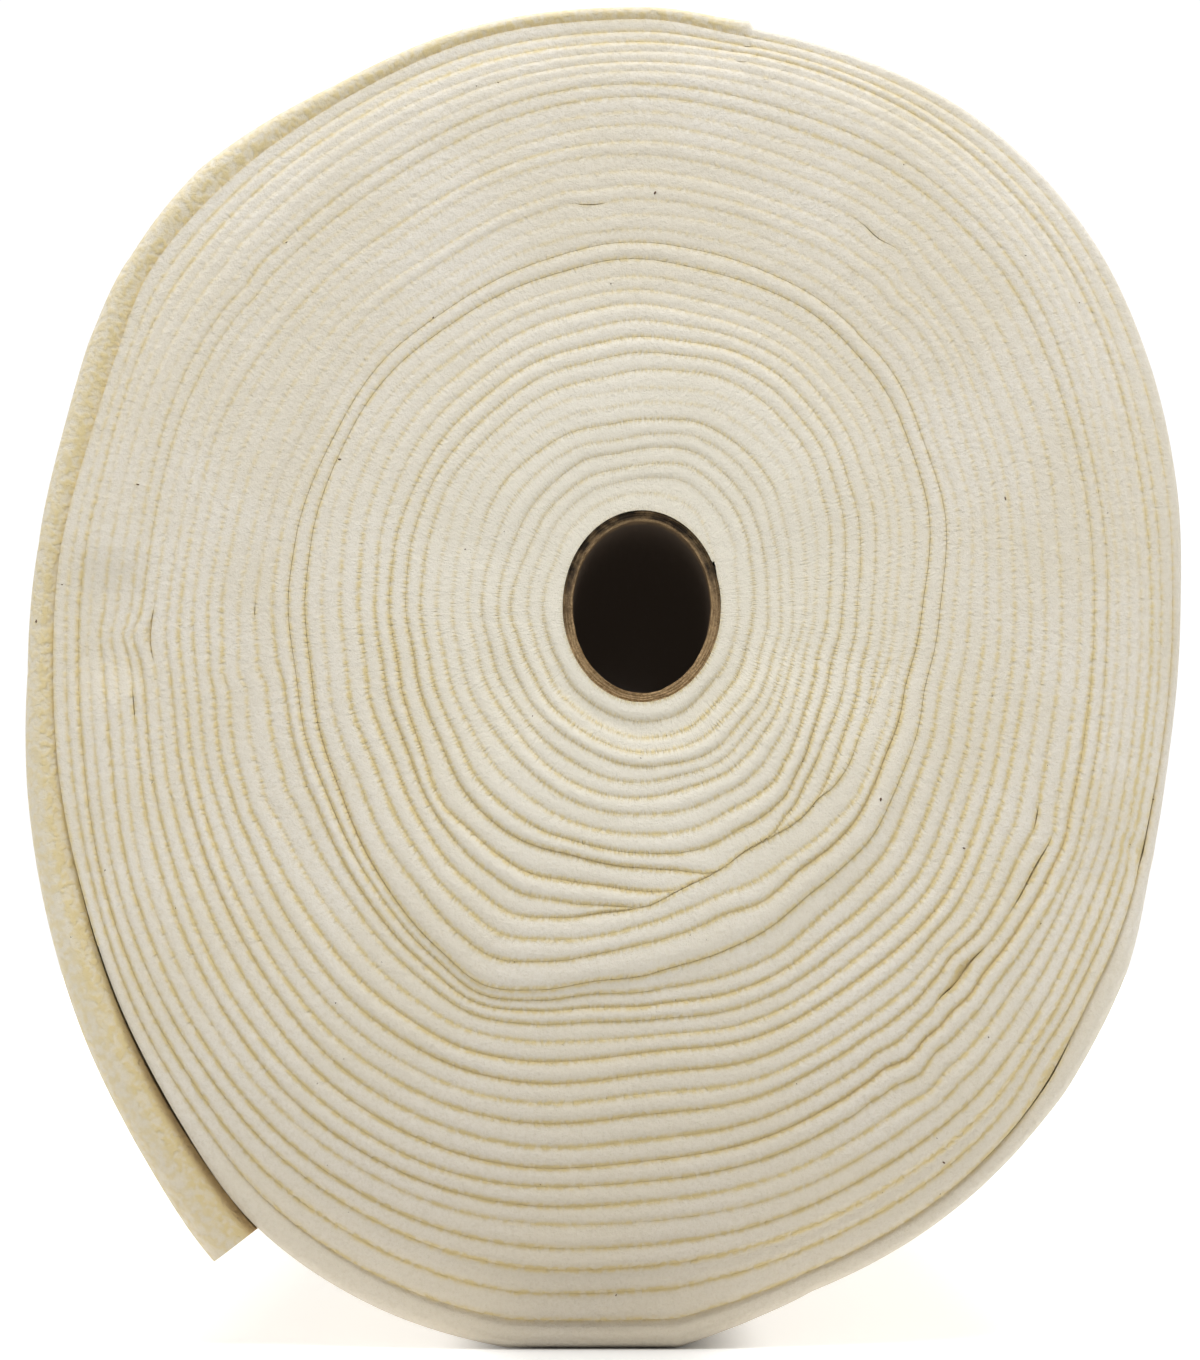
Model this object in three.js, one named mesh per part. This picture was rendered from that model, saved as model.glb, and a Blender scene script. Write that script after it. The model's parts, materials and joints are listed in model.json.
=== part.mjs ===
// A roll of natural cotton quilt batting, folded in half along its length and wound on an
// oval-squashed cardboard tube. It lies on its side on a small flat spot. Millimetres, +Z up.
// The visible end, with the rounded fold edges of the turns, faces -Y. The raw edges face +Y.
// A clock angle is in degrees clockwise from the top, as seen from the visible end.
import * as THREE from "three";

// Driving sizes
const ROLL_LENGTH = 1143; // 90 in wide batting, folded to 45 in
const TUBE_X = 13.85; // the tube's axis, across and above the surface the roll lies on
const TUBE_Z = 272;
const TUBE_HALF_WIDTH = 29.3;
const TUBE_HALF_HEIGHT = 35.6;
const TUBE_WALL = 3.9;
const TUBE_RECESS = 2.5; // how far the tube's ends lie behind the batting
const TUBE_SIDES = 44;
const FIT_GAP = 0.45; // between the tube and the first turn, and under the loose end

// The winding: it starts at the tube at START_CLOCK and runs anticlockwise, outwards
const START_CLOCK = 58;
const ROOT_CLOCK = 10.5; // where the wound turns stop and the loose end takes over
const CUT_CLOCK = 213.2; // where the loose end is cut off
const TURNS = 34; // whole turns wound on, and one more between START_CLOCK and ROOT_CLOCK
const COLUMN_STEP = 9; // degrees between the columns of the end faces
const FLAT_CLOCKS = [189.6, 180]; // the two edges of the flat spot under the roll
const FIRST_GROOVE_PHASE = 0.16; // the first groove opens this share of a turn from the start

// Radius from the tube's axis at which so many turns are wound on, at each clock angle
const TURN_STATIONS = [3, 7, 11, 15, 19, 23, 27, 31];
const TURN_RADII = [
  { clock: 0, radii: [47, 70, 102, 121, 142, 164, 183, 205] },
  { clock: 30, radii: [52, 70, 92, 115, 135, 155, 181, 201] },
  { clock: 60, radii: [50, 69, 91, 110, 131, 151, 173, 193] },
  { clock: 90, radii: [44, 62, 84, 102, 121, 142, 164, 183] },
  { clock: 120, radii: [41, 60, 82, 105, 129, 151, 179, 198] },
  { clock: 150, radii: [45, 67, 94, 126, 150, 175, 202, 228] },
  { clock: 180, radii: [54, 76, 102, 131, 157, 186, 215, 248] },
  { clock: 210, radii: [50, 80, 108, 139, 169, 195, 223, 248] },
  { clock: 240, radii: [54, 81, 103, 126, 149, 172, 194, 215] },
  { clock: 270, radii: [44, 62, 83, 105, 128, 152, 173, 196] },
  { clock: 300, radii: [48, 73, 97, 119, 139, 162, 181, 201] },
  { clock: 330, radii: [51, 75, 101, 121, 141, 160, 181, 205] },
];

// The wound turns' own outline, the radius from the tube's axis
const RIM = [
  { clock: 20, radius: 221 },
  { clock: 35, radius: 221.5 },
  { clock: 50, radius: 217 },
  { clock: 65, radius: 209 },
  { clock: 78, radius: 203 },
  { clock: 90, radius: 199.6 },
  { clock: 104, radius: 202 },
  { clock: 116, radius: 210 },
  { clock: 127, radius: 224.5 },
  { clock: 139, radius: 237 },
  { clock: 153, radius: 250 },
  { clock: 166, radius: 259 },
  { clock: 172, radius: 266 },
  { clock: 180, radius: 275 },
  { clock: 190, radius: 276.5 },
  { clock: 201, radius: 275 },
  { clock: 212, radius: 267.5 },
  { clock: 223, radius: 252 },
  { clock: 233, radius: 240.5 },
  { clock: 243, radius: 230.5 },
  { clock: 254, radius: 223 },
  { clock: 264, radius: 218 },
  { clock: 276, radius: 215.5 },
  { clock: 287, radius: 213.5 },
  { clock: 296, radius: 216 },
  { clock: 304, radius: 221 },
  { clock: 315, radius: 221 },
  { clock: 330, radius: 219.6 },
  { clock: 345, radius: 221 },
  { clock: 358, radius: 220 },
];
const ROOT_DIP = 3.6; // how far the outline dips towards the root, under the loose end

// The loose end: how thick its folded edge is puffed, and how far it stands off the roll
const LOOSE_END = [
  { clock: 10.5, puff: 5.8, gap: 0 },
  { clock: 0, puff: 4.4, gap: 0 },
  { clock: 345, puff: 5, gap: 0 },
  { clock: 330, puff: 6.5, gap: 0 },
  { clock: 315, puff: 11, gap: 0 },
  { clock: 305, puff: 8, gap: 0 },
  { clock: 296, puff: 11.8, gap: 0 },
  { clock: 287, puff: 10.8, gap: 0 },
  { clock: 276, puff: 8.6, gap: 0 },
  { clock: 264, puff: 9.8, gap: 0 },
  { clock: 253, puff: 13, gap: 0 },
  { clock: 243, puff: 15.5, gap: 0.3 },
  { clock: 228, puff: 17.5, gap: 0.8 },
  { clock: 213.2, puff: 18.6, gap: 1.6 },
];
const SHEET_THICKNESS = 6.4; // the two plies of batting lying together
const PUFF_DEPTH = 46; // how far behind the fold the plies come together
const LOOSE_END_RECESS = 2;

// Relief of the visible end
const GROOVE_DEPTH = 2.6;
const BACK_GROOVE_DEPTH = 2;
const BACK_TURNS_PER_RIDGE = 2; // the back end shows the turns in pairs
const EDGE_ROUNDING = 4; // how far the outermost turn rounds back into the side
const RIM_FALL = 5; // how far the outer turns fall back from the middle ones
const RIM_FALL_TURNS = 5;

// Parts of the end that stand proud of it or sink into it
const SWELLS = [
  // the bundle of inner turns that stands out above the deep fold
  { from: 95, to: 240, inner: 2, outer: 14.5, height: 6, fade: 26, edge: 1 },
  // the broad soft turns over the tube
  { from: 300, to: 425, inner: 3, outer: 12, height: 2, fade: 30, edge: 3 },
  // the slit low on the right, where a few turns have slipped back
  { from: 118, to: 142, inner: 28, outer: 32, height: -6, fade: 10, edge: 2 },
  // the crease at the left, where the outer turns are pinched
  { from: 262, to: 274, inner: 28, outer: 33, height: -4, fade: 6, edge: 2 },
];

const COLOURS = { batting: 0xddd6c0, looseEnd: 0xe0d9c4, cardboard: 0xa98a5e };

const HALF_LENGTH = ROLL_LENGTH / 2;
const radians = THREE.MathUtils.degToRad;
const wrap = (clock) => ((clock % 360) + 360) % 360;
const smooth = THREE.MathUtils.smoothstep;

// Share of a turn wound on since the start, at a clock angle
const phaseAt = (clock) => wrap(START_CLOCK - clock) / 360;

// Catmull-Rom curve through four values
function throughFour(a, b, c, d, t) {
  const bend = (2 * a - 5 * b + 4 * c - d) * t;
  return b + 0.5 * t * (c - a + bend + t * t * (3 * (b - c) + d - a));
}

// Value of a table's rows at a clock angle, on a smooth closed curve through the rows
function roundTheClock(rows, clock, valueOf) {
  const at = wrap(clock);
  const count = rows.length;
  let next = rows.findIndex((row) => row.clock > at);
  if (next < 0) next = count;
  const row = (k) => rows[(k + count) % count];
  const from = row(next - 1).clock;
  const span = wrap(row(next).clock - from);
  const share = wrap(at - from) / span;
  const values = [-2, -1, 0, 1].map((k) => valueOf(row(next + k)));
  return throughFour(...values, share);
}

// Value of the loose end's rows, straight between them
function alongLooseEnd(clock, key) {
  const distance = (row) => wrap(ROOT_CLOCK - row.clock);
  const at = wrap(ROOT_CLOCK - clock);
  const next = LOOSE_END.findIndex((row) => distance(row) >= at - 1e-6);
  if (next <= 0) return LOOSE_END[0][key];
  const [a, b] = [LOOSE_END[next - 1], LOOSE_END[next]];
  const share = (at - distance(a)) / (distance(b) - distance(a));
  return THREE.MathUtils.lerp(a[key], b[key], share);
}

const isUnderLooseEnd = (clock) => wrap(ROOT_CLOCK - clock) <= wrap(ROOT_CLOCK - CUT_CLOCK);

function tubeRadius(clock, halfWidth, halfHeight) {
  const angle = radians(clock);
  return 1 / Math.hypot(Math.sin(angle) / halfWidth, Math.cos(angle) / halfHeight);
}

function holeRadius(clock) {
  return tubeRadius(clock, TUBE_HALF_WIDTH, TUBE_HALF_HEIGHT) + FIT_GAP;
}

// The outline is cut off flat at the surface that the roll lies on
function rimRadius(clock) {
  const dip = wrap(clock) < ROOT_CLOCK ? ROOT_DIP * smooth(wrap(clock), 0, ROOT_CLOCK) : 0;
  const radius = roundTheClock(RIM, clock, (row) => row.radius) - dip;
  const down = -Math.cos(radians(clock));
  return down > 0 ? Math.min(radius, TUBE_Z / down) : radius;
}

// Turns wound on at the outline, and where the loose end lies on it
const turnsUnderLooseEnd = (clock) => TURNS + phaseAt(clock);
const isPastRoot = (clock) => phaseAt(clock) > phaseAt(ROOT_CLOCK);
const turnsAtRim = (clock) => turnsUnderLooseEnd(clock) + (isPastRoot(clock) ? 0 : 1);

// Radius at which so many turns are wound on
function turnRadius(turns, clock) {
  const stations = [0, ...TURN_STATIONS, turnsAtRim(clock)];
  const inner = TURN_STATIONS.map((_, k) => roundTheClock(TURN_RADII, clock, (row) => row.radii[k]));
  const radii = [holeRadius(clock), ...inner, rimRadius(clock)];
  let next = stations.findIndex((station) => station >= turns - 1e-9);
  if (next < 0) next = stations.length - 1;
  if (next === 0) return radii[0];
  const share = (turns - stations[next - 1]) / (stations[next] - stations[next - 1]);
  return THREE.MathUtils.lerp(radii[next - 1], radii[next], share);
}

// How far the end stands out at a place, from the swells and the fall towards the rim
function relief(turns, clock) {
  let height = -RIM_FALL * smooth(turns, turnsAtRim(clock) - RIM_FALL_TURNS, turnsAtRim(clock));
  for (const swell of SWELLS) {
    const middle = (swell.from + swell.to) / 2;
    const reach = (swell.to - swell.from) / 2;
    const away = Math.abs(wrap(clock - middle + 180) - 180);
    const round = 1 - smooth(away, reach - swell.fade / 2, reach + swell.fade / 2);
    const rising = smooth(turns, swell.inner - swell.edge, swell.inner + swell.edge);
    const falling = 1 - smooth(turns, swell.outer - swell.edge, swell.outer + swell.edge);
    height += swell.height * round * rising * falling;
  }
  return height;
}

const HIGHEST = SWELLS[0].height;

// Depth of a place behind the furthest point of the visible end
const endDepth = (turns, clock) => HIGHEST - relief(turns, clock);

function point(clock, radius, y) {
  const angle = radians(clock);
  return [TUBE_X + radius * Math.sin(angle), y, TUBE_Z + radius * Math.cos(angle)];
}

// The columns of the end faces, as clock angles in the order the turns are wound
function columnClocks() {
  const clocks = [];
  for (let turned = 0; turned < 360; turned += COLUMN_STEP) clocks.push(wrap(START_CLOCK - turned));
  const extra = [ROOT_CLOCK, CUT_CLOCK, ...FLAT_CLOCKS];
  const isClear = (clock) => extra.every((other) => Math.abs(clock - other) > COLUMN_STEP / 3);
  return [...clocks.filter(isClear), ...extra].sort((a, b) => phaseAt(a) - phaseAt(b));
}

// One column's points from the tube to the rim. Even labels are grooves, odd labels are crests,
// and the last groove is where the outermost turn becomes the loose end
function columnRings(clock, turnsPerRidge) {
  const phase = phaseAt(clock);
  const atRim = turnsAtRim(clock);
  const lastGroove = (2 * TURNS) / turnsPerRidge;
  const rings = [{ label: -Infinity, turns: 0, edge: true }];
  for (let label = -1; ; label += 1) {
    const isLast = label === lastGroove;
    const turns = isLast ? turnsUnderLooseEnd(clock) : turnsPerRidge * (label / 2 + phase);
    if (turns > atRim - 0.35) break;
    const isOpen = label > 0 || phase > FIRST_GROOVE_PHASE;
    if (turns > 0.2 && isOpen) rings.push({ label, turns, crest: label % 2 !== 0 });
  }
  rings.push({ label: Infinity, turns: atRim, edge: true });
  return rings;
}

// A closed body is collected as shared points and triangles
class Body {
  constructor() {
    this.points = [];
    this.triangles = [];
  }

  add(position) {
    this.points.push(...position);
    return this.points.length / 3 - 1;
  }

  triangle(a, b, c) {
    this.triangles.push(a, b, c);
  }

  quad(a, b, c, d) {
    this.triangle(a, b, c);
    this.triangle(a, c, d);
  }

  geometry() {
    const geometry = new THREE.BufferGeometry();
    geometry.setAttribute("position", new THREE.Float32BufferAttribute(this.points, 3));
    geometry.setIndex(this.triangles);
    geometry.computeVertexNormals();
    return geometry;
  }
}

// Fills the strip between two neighbouring columns, joining points with the same label
function zip(body, left, right, shift, isFront) {
  let l = 0;
  let r = 0;
  const face = (a, b, c) => (isFront ? body.triangle(a, b, c) : body.triangle(a, c, b));
  while (l < left.length - 1 || r < right.length - 1) {
    const nextLeft = l < left.length - 1 ? left[l + 1].label + shift : Infinity;
    const nextRight = r < right.length - 1 ? right[r + 1].label : Infinity;
    const leftFirst = l < left.length - 1 && (r === right.length - 1 || nextLeft <= nextRight);
    if (leftFirst) {
      face(left[l].index, left[l + 1].index, right[r].index);
      l += 1;
      if (nextLeft === nextRight && r < right.length - 1) {
        face(left[l].index, right[r + 1].index, right[r].index);
        r += 1;
      }
    } else {
      face(left[l].index, right[r + 1].index, right[r].index);
      r += 1;
    }
  }
}

// The turn that runs on into the loose end stops at the root. This leaves out its points
function withoutLastTurn(rings) {
  const last = rings.findIndex((ring) => ring.turns > TURNS && !ring.crest && !ring.edge);
  return [...rings.slice(0, last), { ...rings[last], label: Infinity }];
}

// The two end faces share their columns, and the side and the hole join them
function battingRoll() {
  const body = new Body();
  const clocks = columnClocks();
  const depthOf = (ring, groove) => (ring.edge && ring.turns > 0 ? EDGE_ROUNDING : ring.crest ? 0 : groove);
  const column = (clock, turnsPerRidge, yOf) =>
    columnRings(clock, turnsPerRidge).map((ring) => {
      const radius = turnRadius(ring.turns, clock);
      return { ...ring, index: body.add(point(clock, radius, yOf(ring, clock))) };
    });
  const front = clocks.map((clock) =>
    column(clock, 1, (ring) => endDepth(ring.turns, clock) + depthOf(ring, GROOVE_DEPTH) - HALF_LENGTH),
  );
  const back = clocks.map((clock) =>
    column(clock, BACK_TURNS_PER_RIDGE, (ring) => HALF_LENGTH - depthOf(ring, BACK_GROOVE_DEPTH)),
  );
  clocks.forEach((clock, k) => {
    const next = (k + 1) % clocks.length;
    const shift = next === 0 ? 2 : 0;
    let [frontHere, backHere] = [front[k], back[k]];
    if (clock === ROOT_CLOCK) {
      [frontHere, backHere] = [front[k], back[k]].map(withoutLastTurn);
      rootFace(body, front[k], back[k]);
    }
    zip(body, frontHere, front[next], shift, true);
    zip(body, backHere, back[next], shift, false);
    body.quad(frontHere.at(-1).index, backHere.at(-1).index, back[next].at(-1).index, front[next].at(-1).index);
    body.quad(frontHere[0].index, front[next][0].index, back[next][0].index, backHere[0].index);
  });
  return body.geometry();
}

// The step at the root is closed by a face across the last turn, from one end to the other
function rootFace(body, front, back) {
  const [inFront, atBack] = [front, back].map((rings) => rings.slice(withoutLastTurn(rings).length - 1));
  const chain = [...inFront].reverse().concat(atBack).map((ring) => ring.index);
  for (let k = 1; k < chain.length - 1; k += 1) body.triangle(chain[0], chain[k + 1], chain[k]);
}

// The fold at the visible edge is puffed, and behind it the plies lie together
function looseEndSection(clock) {
  const puff = alongLooseEnd(clock, "puff");
  const inner = turnRadius(turnsUnderLooseEnd(clock), clock) + FIT_GAP + alongLooseEnd(clock, "gap");
  const plies = Math.min(puff, SHEET_THICKNESS);
  const front = HIGHEST + LOOSE_END_RECESS - HALF_LENGTH;
  return [
    point(clock, inner + puff * 0.5, front),
    point(clock, inner + puff * 0.82, front + puff * 0.14),
    point(clock, inner + puff, front + puff * 0.5),
    point(clock, inner + (puff + plies) / 2, front + PUFF_DEPTH / 2),
    point(clock, inner + plies, front + PUFF_DEPTH),
    point(clock, inner + plies, HALF_LENGTH),
    point(clock, inner, HALF_LENGTH),
    point(clock, inner, front + puff * 0.5),
    point(clock, inner + puff * 0.18, front + puff * 0.14),
  ];
}

function looseEnd() {
  const body = new Body();
  const clocks = columnClocks().filter(isUnderLooseEnd);
  const sections = clocks.map((clock) => looseEndSection(clock).map((position) => body.add(position)));
  const sides = sections[0].length;
  for (let k = 0; k < sections.length - 1; k += 1) {
    for (let side = 0; side < sides; side += 1) {
      const other = (side + 1) % sides;
      const [here, next] = [sections[k], sections[k + 1]];
      body.quad(here[side], here[other], next[other], next[side]);
    }
  }
  // The root and the cut end are closed by strips across the section
  const close = (section, isRoot) => {
    const across = [
      [0, 1, 8],
      [1, 2, 8],
      [2, 7, 8],
      [2, 3, 7],
      [3, 4, 7],
      [4, 5, 7],
      [5, 6, 7],
    ];
    for (const [a, b, c] of across) {
      if (isRoot) body.triangle(section[a], section[c], section[b]);
      else body.triangle(section[a], section[b], section[c]);
    }
  };
  close(sections[0], true);
  close(sections.at(-1), false);
  return body.geometry();
}

function coreTube() {
  const outline = new THREE.Shape();
  outline.absellipse(0, 0, TUBE_HALF_WIDTH, TUBE_HALF_HEIGHT, 0, 2 * Math.PI);
  const bore = new THREE.Path();
  const halfBore = [TUBE_HALF_WIDTH - TUBE_WALL, TUBE_HALF_HEIGHT - TUBE_WALL];
  bore.absellipse(0, 0, ...halfBore, 0, 2 * Math.PI, true);
  outline.holes.push(bore);
  const depth = ROLL_LENGTH - 2 * (HIGHEST + TUBE_RECESS);
  const options = { depth, bevelEnabled: false, curveSegments: TUBE_SIDES, steps: 1 };
  const geometry = new THREE.ExtrudeGeometry(outline, options);
  geometry.rotateX(Math.PI / 2);
  geometry.translate(0, depth / 2, 0);
  return geometry;
}

function piece(name, geometry, color, roughness) {
  const material = new THREE.MeshStandardMaterial({ color, roughness, metalness: 0 });
  const mesh = new THREE.Mesh(geometry, material);
  mesh.name = name;
  return mesh;
}

const roll = new THREE.Group();
roll.add(piece("batting_roll", battingRoll(), COLOURS.batting, 0.95));
roll.add(piece("loose_end", looseEnd(), COLOURS.looseEnd, 0.95));
const tube = piece("core_tube", coreTube(), COLOURS.cardboard, 0.85);
tube.position.set(TUBE_X, 0, TUBE_Z);
roll.add(tube);

export default roll;
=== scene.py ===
"""A roll of natural cotton quilt batting, folded in half and wound on an oval cardboard tube.

Sizes in the tables are millimetres. The visible end faces -Y. A clock angle is in degrees
clockwise from the top, as seen from that end, and t counts the turns wound on since the start.
"""

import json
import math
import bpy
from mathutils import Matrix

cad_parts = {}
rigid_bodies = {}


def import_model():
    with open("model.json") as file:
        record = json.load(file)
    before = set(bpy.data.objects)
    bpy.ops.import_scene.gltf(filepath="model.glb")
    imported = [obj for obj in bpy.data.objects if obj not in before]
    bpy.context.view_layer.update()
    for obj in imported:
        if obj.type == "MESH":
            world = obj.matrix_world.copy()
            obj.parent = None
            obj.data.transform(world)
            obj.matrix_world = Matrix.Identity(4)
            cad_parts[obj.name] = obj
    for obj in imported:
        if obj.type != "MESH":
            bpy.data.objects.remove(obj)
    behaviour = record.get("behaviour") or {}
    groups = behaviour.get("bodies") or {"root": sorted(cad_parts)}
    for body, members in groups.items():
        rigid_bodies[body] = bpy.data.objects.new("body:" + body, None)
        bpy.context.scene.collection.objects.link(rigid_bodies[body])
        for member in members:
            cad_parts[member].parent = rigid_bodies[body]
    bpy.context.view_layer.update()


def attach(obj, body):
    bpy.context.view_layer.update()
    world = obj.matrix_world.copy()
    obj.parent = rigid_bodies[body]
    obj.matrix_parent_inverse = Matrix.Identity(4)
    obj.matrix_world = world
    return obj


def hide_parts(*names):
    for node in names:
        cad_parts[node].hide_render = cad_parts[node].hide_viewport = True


bl_info = {
    "name": "Quilt batting roll",
    "version": (1, 0, 0),
    "blender": (4, 5, 0),
    "location": "View3D > Sidebar > Batting",
    "description": "Winds a folded cotton batting on its tube, with its fold edges, loose end and studio",
    "category": "Add Mesh",
}

import bpy
import numpy as np
from bpy.props import FloatProperty, FloatVectorProperty, IntProperty, PointerProperty
from mathutils import Matrix, Vector
from mathutils.bvhtree import BVHTree

for start_up_object in list(bpy.data.objects):
    bpy.data.objects.remove(start_up_object)
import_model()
MM = 0.001


def table(columns, *rows):
    """The rows of a table, each a dictionary with the columns' names."""
    return [dict(zip(columns.split(), row)) for row in rows]


# Driving sizes of the roll and its tube
ROLL_LENGTH = 1143.0
HALF_LENGTH = ROLL_LENGTH / 2
TUBE_X = 13.85
TUBE_Z = 272.0
TUBE_HALF_WIDTH = 29.3
TUBE_HALF_HEIGHT = 35.6
TUBE_WALL = 3.9
TUBE_RECESS = 2.5
FIT_GAP = 0.45

# The winding starts at the tube at START_CLOCK and runs anticlockwise, outwards
START_CLOCK = 58.0
ROOT_CLOCK = 10.5
CUT_CLOCK = 213.2
TURNS = 34

# Radius from the tube's axis at which so many turns are wound on, at each clock angle
TURN_STATIONS = (3, 7, 11, 15, 19, 23, 27, 31)
TURN_RADII = {
    0: (53, 76.5, 100.5, 123, 145, 167.5, 189.5, 206),
    15: (53.5, 76.5, 99, 119.5, 142, 162.5, 185, 204.5),
    30: (52, 75, 97.5, 118.5, 140.5, 162, 185, 203.5),
    45: (49.5, 73, 94, 116, 139, 157.5, 182.5, 200),
    60: (46, 67.5, 89, 111, 131, 150.5, 174.5, 192.5),
    75: (44, 63, 84, 105.5, 127, 145.5, 169, 186),
    90: (42, 61, 81, 102.5, 124.5, 143.5, 168, 184.5),
    105: (42, 60.5, 81, 103, 126, 145, 170.5, 187.5),
    120: (44, 62.5, 83.5, 106.5, 131, 151.5, 178.5, 197),
    135: (46.5, 66.5, 89, 112, 139, 162, 186.5, 211),
    150: (48.5, 69.5, 96.5, 114, 143, 167, 194, 222),
    165: (50.5, 70.5, 99.5, 117.5, 146.5, 172.5, 200.5, 230),
    180: (50.5, 71.5, 96.5, 124, 148, 175, 206, 237.5),
    195: (49, 71, 96.5, 134, 153.5, 182.5, 212.5, 243),
    210: (48, 70, 98, 136, 155.5, 183, 211.5, 240),
    225: (47.5, 68, 97, 129.5, 149.5, 177, 203, 228.5),
    240: (45, 66.5, 91, 119, 143.5, 170, 192.5, 216),
    255: (44.5, 65.5, 89.5, 115.5, 138, 163, 183.5, 204.5),
    270: (46, 66.5, 89.5, 113.5, 136.5, 160, 180, 200.5),
    285: (46, 68.5, 91.5, 115.5, 137, 160, 181.5, 200),
    300: (46.5, 70.5, 93, 117, 137, 161.5, 183.5, 203.5),
    315: (49.5, 72.5, 94.5, 119, 140, 161.5, 183, 205),
    330: (51.5, 74.5, 97.5, 120.5, 141.5, 163, 185, 206),
    345: (52.5, 75.5, 99, 122.5, 145, 167, 188.5, 207),
}

# The wound turns' own outline, the radius from the tube's axis at each clock angle
RIM = {
    20: 221, 35: 221.5, 50: 217, 65: 209, 78: 203, 90: 199.6, 104: 202, 116: 210, 127: 224.5,
    139: 237, 153: 250, 166: 259, 172: 266, 180: 275, 190: 276.5, 201: 275, 212: 267.5, 223: 252,
    233: 240.5, 243: 230.5, 254: 223, 264: 218, 276: 215.5, 287: 213.5, 296: 216, 304: 221,
    315: 221, 330: 219.6, 345: 221, 358: 220,
}  # fmt: skip
ROOT_DIP = 3.6

# The loose end: how thick its folded edge is puffed, and how far it stands off the roll
LOOSE_PUFF = {
    10.5: 5.8, 0: 4.4, 345: 5, 330: 6.5, 315: 11.5, 305: 9.6, 296: 12.2, 287: 10.8, 276: 8.6,
    264: 9.8, 253: 13, 243: 15.5, 228: 17.5, 213.2: 18.6,
}  # fmt: skip
LOOSE_GAP = {10.5: 0, 253: 0, 243: 0.3, 228: 0.9, 213.2: 2.0}
LOOSE_GROOVE = {10.5: 1.3, 315: 1.6, 287: 1.8, 264: 2.6, 243: 4.5, 228: 6.5, 213.2: 8.5}
PUFF_DEPTH = 46.0

# Parts of the end that stand proud of it or sink into it, in turns and clock angles
SWELLS = table(
    "from to inner outer height fade edge",
    (118, 226, 2, 15.5, 2.9, 30, 0.3),
    (300, 425, 3, 12, 2, 30, 3),
    (118, 142, 28, 32, -3, 10, 2),
    (262, 274, 28, 33, -3, 6, 2),
)
HIGHEST = 6.0
DOME = 3.0
RIM_FALL = 4.0
LOWER_RIM_FALL = 7.0
RIM_FALL_TURNS = 5.0

# Turns that are hidden under the next wide one for a stretch, which runs anticlockwise from one
# clock angle to the other
TUCKED = table(
    "turn from to",
    (10, 168.5, 148),
    (11, 177, 136.5),
    (12, 181, 117),
)

# The grooves 9 to 16 round the tucked turns: their radii at each clock angle
BUNDLE_GROOVES = tuple(range(9, 17))
BUNDLE_RADII = {
    105: (72.5, 78.4, 83.6, 88.8, 92.5, 96.9, 101, 108),
    112.5: (73.8, 79.9, 85.3, 90.6, 92, 98.4, 102.7, 110.3),
    120: (75.5, 81.4, 87, 92.5, 92.7, 99.9, 104.3, 112.5),
    127.5: (78.4, 83.6, 89.9, 95.3, 95.5, 103.2, 107.3, 115.4),
    134: (81.8, 86.6, 93.4, 96.4, 96.6, 105.6, 110.3, 118.8),
    137.5: (83.6, 88.4, 95.4, 95.6, 95.8, 105.8, 111.4, 119.9),
    142.5: (87, 91.9, 96.8, 97, 97.2, 106.5, 112.1, 120.6),
    146.5: (88.1, 93.6, 97.1, 97.3, 97.5, 106.7, 112.3, 121.4),
    150: (88.8, 96.2, 96.8, 97, 97.2, 106.9, 112.9, 122.1),
    157.5: (89.5, 97.4, 97.6, 97.8, 98, 109, 116.8, 126.2),
    165: (91.4, 101, 101.2, 101.4, 101.6, 109.7, 116.9, 129.1),
    169: (91.6, 99.6, 102.9, 103.1, 103.3, 111.4, 118.8, 130.6),
    172.5: (91.6, 97.7, 104.8, 105, 105.2, 112.8, 120.5, 131.7),
    177: (91, 96.6, 104.9, 108.5, 108.7, 115.4, 122.5, 133.6),
    180: (90.7, 96, 104.5, 110.1, 110.4, 116.9, 123.8, 135.4),
    187.5: (90.2, 95.5, 103.6, 110.6, 113.4, 122, 128.6, 138.6),
    195: (89.7, 94.9, 104.3, 112.1, 118.4, 126.5, 134.7, 145.4),
    202.5: (90.1, 96, 106.2, 114.1, 122.3, 130.6, 139.5, 150.2),
    210: (89.5, 96.6, 105.3, 112.5, 120.1, 128, 136.9, 146.2),
    217.5: (88.6, 95.6, 103.6, 110.3, 117.5, 124.7, 132.1, 141.9),
    225: (87, 93.6, 102.9, 107.3, 113.6, 120.6, 128.8, 137.3),
}

# Where neighbouring turns part and leave an opening. Clock angle and radius of its middle, its
# reach in degrees, its width, how far round it the turns give way, and how much of it outwards
OPENINGS = table(
    "clock radius reach width turns outwards",
    (266.8, 181.5, 1.7, 2.3, 5, 1.0),
    (259, 188.8, 1.3, 0.5, 2, 0.6),
    (269.5, 142.5, 0.8, 0.39, 1, 0.5),
    (139.2, 181.6, 2.2, 2.9, 3, 0.3),
    (124.6, 171.5, 3.2, 1.2, 2, 0.7),
    (118.2, 165.8, 1.0, 0.66, 2, 0.5),
    (116, 203.5, 1.2, 2.2, 2, 0.2),
    (113.4, 202, 4.4, 0.9, 1, 0.4),
    (138.6, 229, 3.2, 2.4, 2, 0.2),
    (142, 232, 8, 0.8, 2, 0.3),
    (352.7, 151.5, 1.6, 0.55, 1, 0.8),
    (32, 161.8, 2.5, 0.33, 2, 0.5),
)

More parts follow.
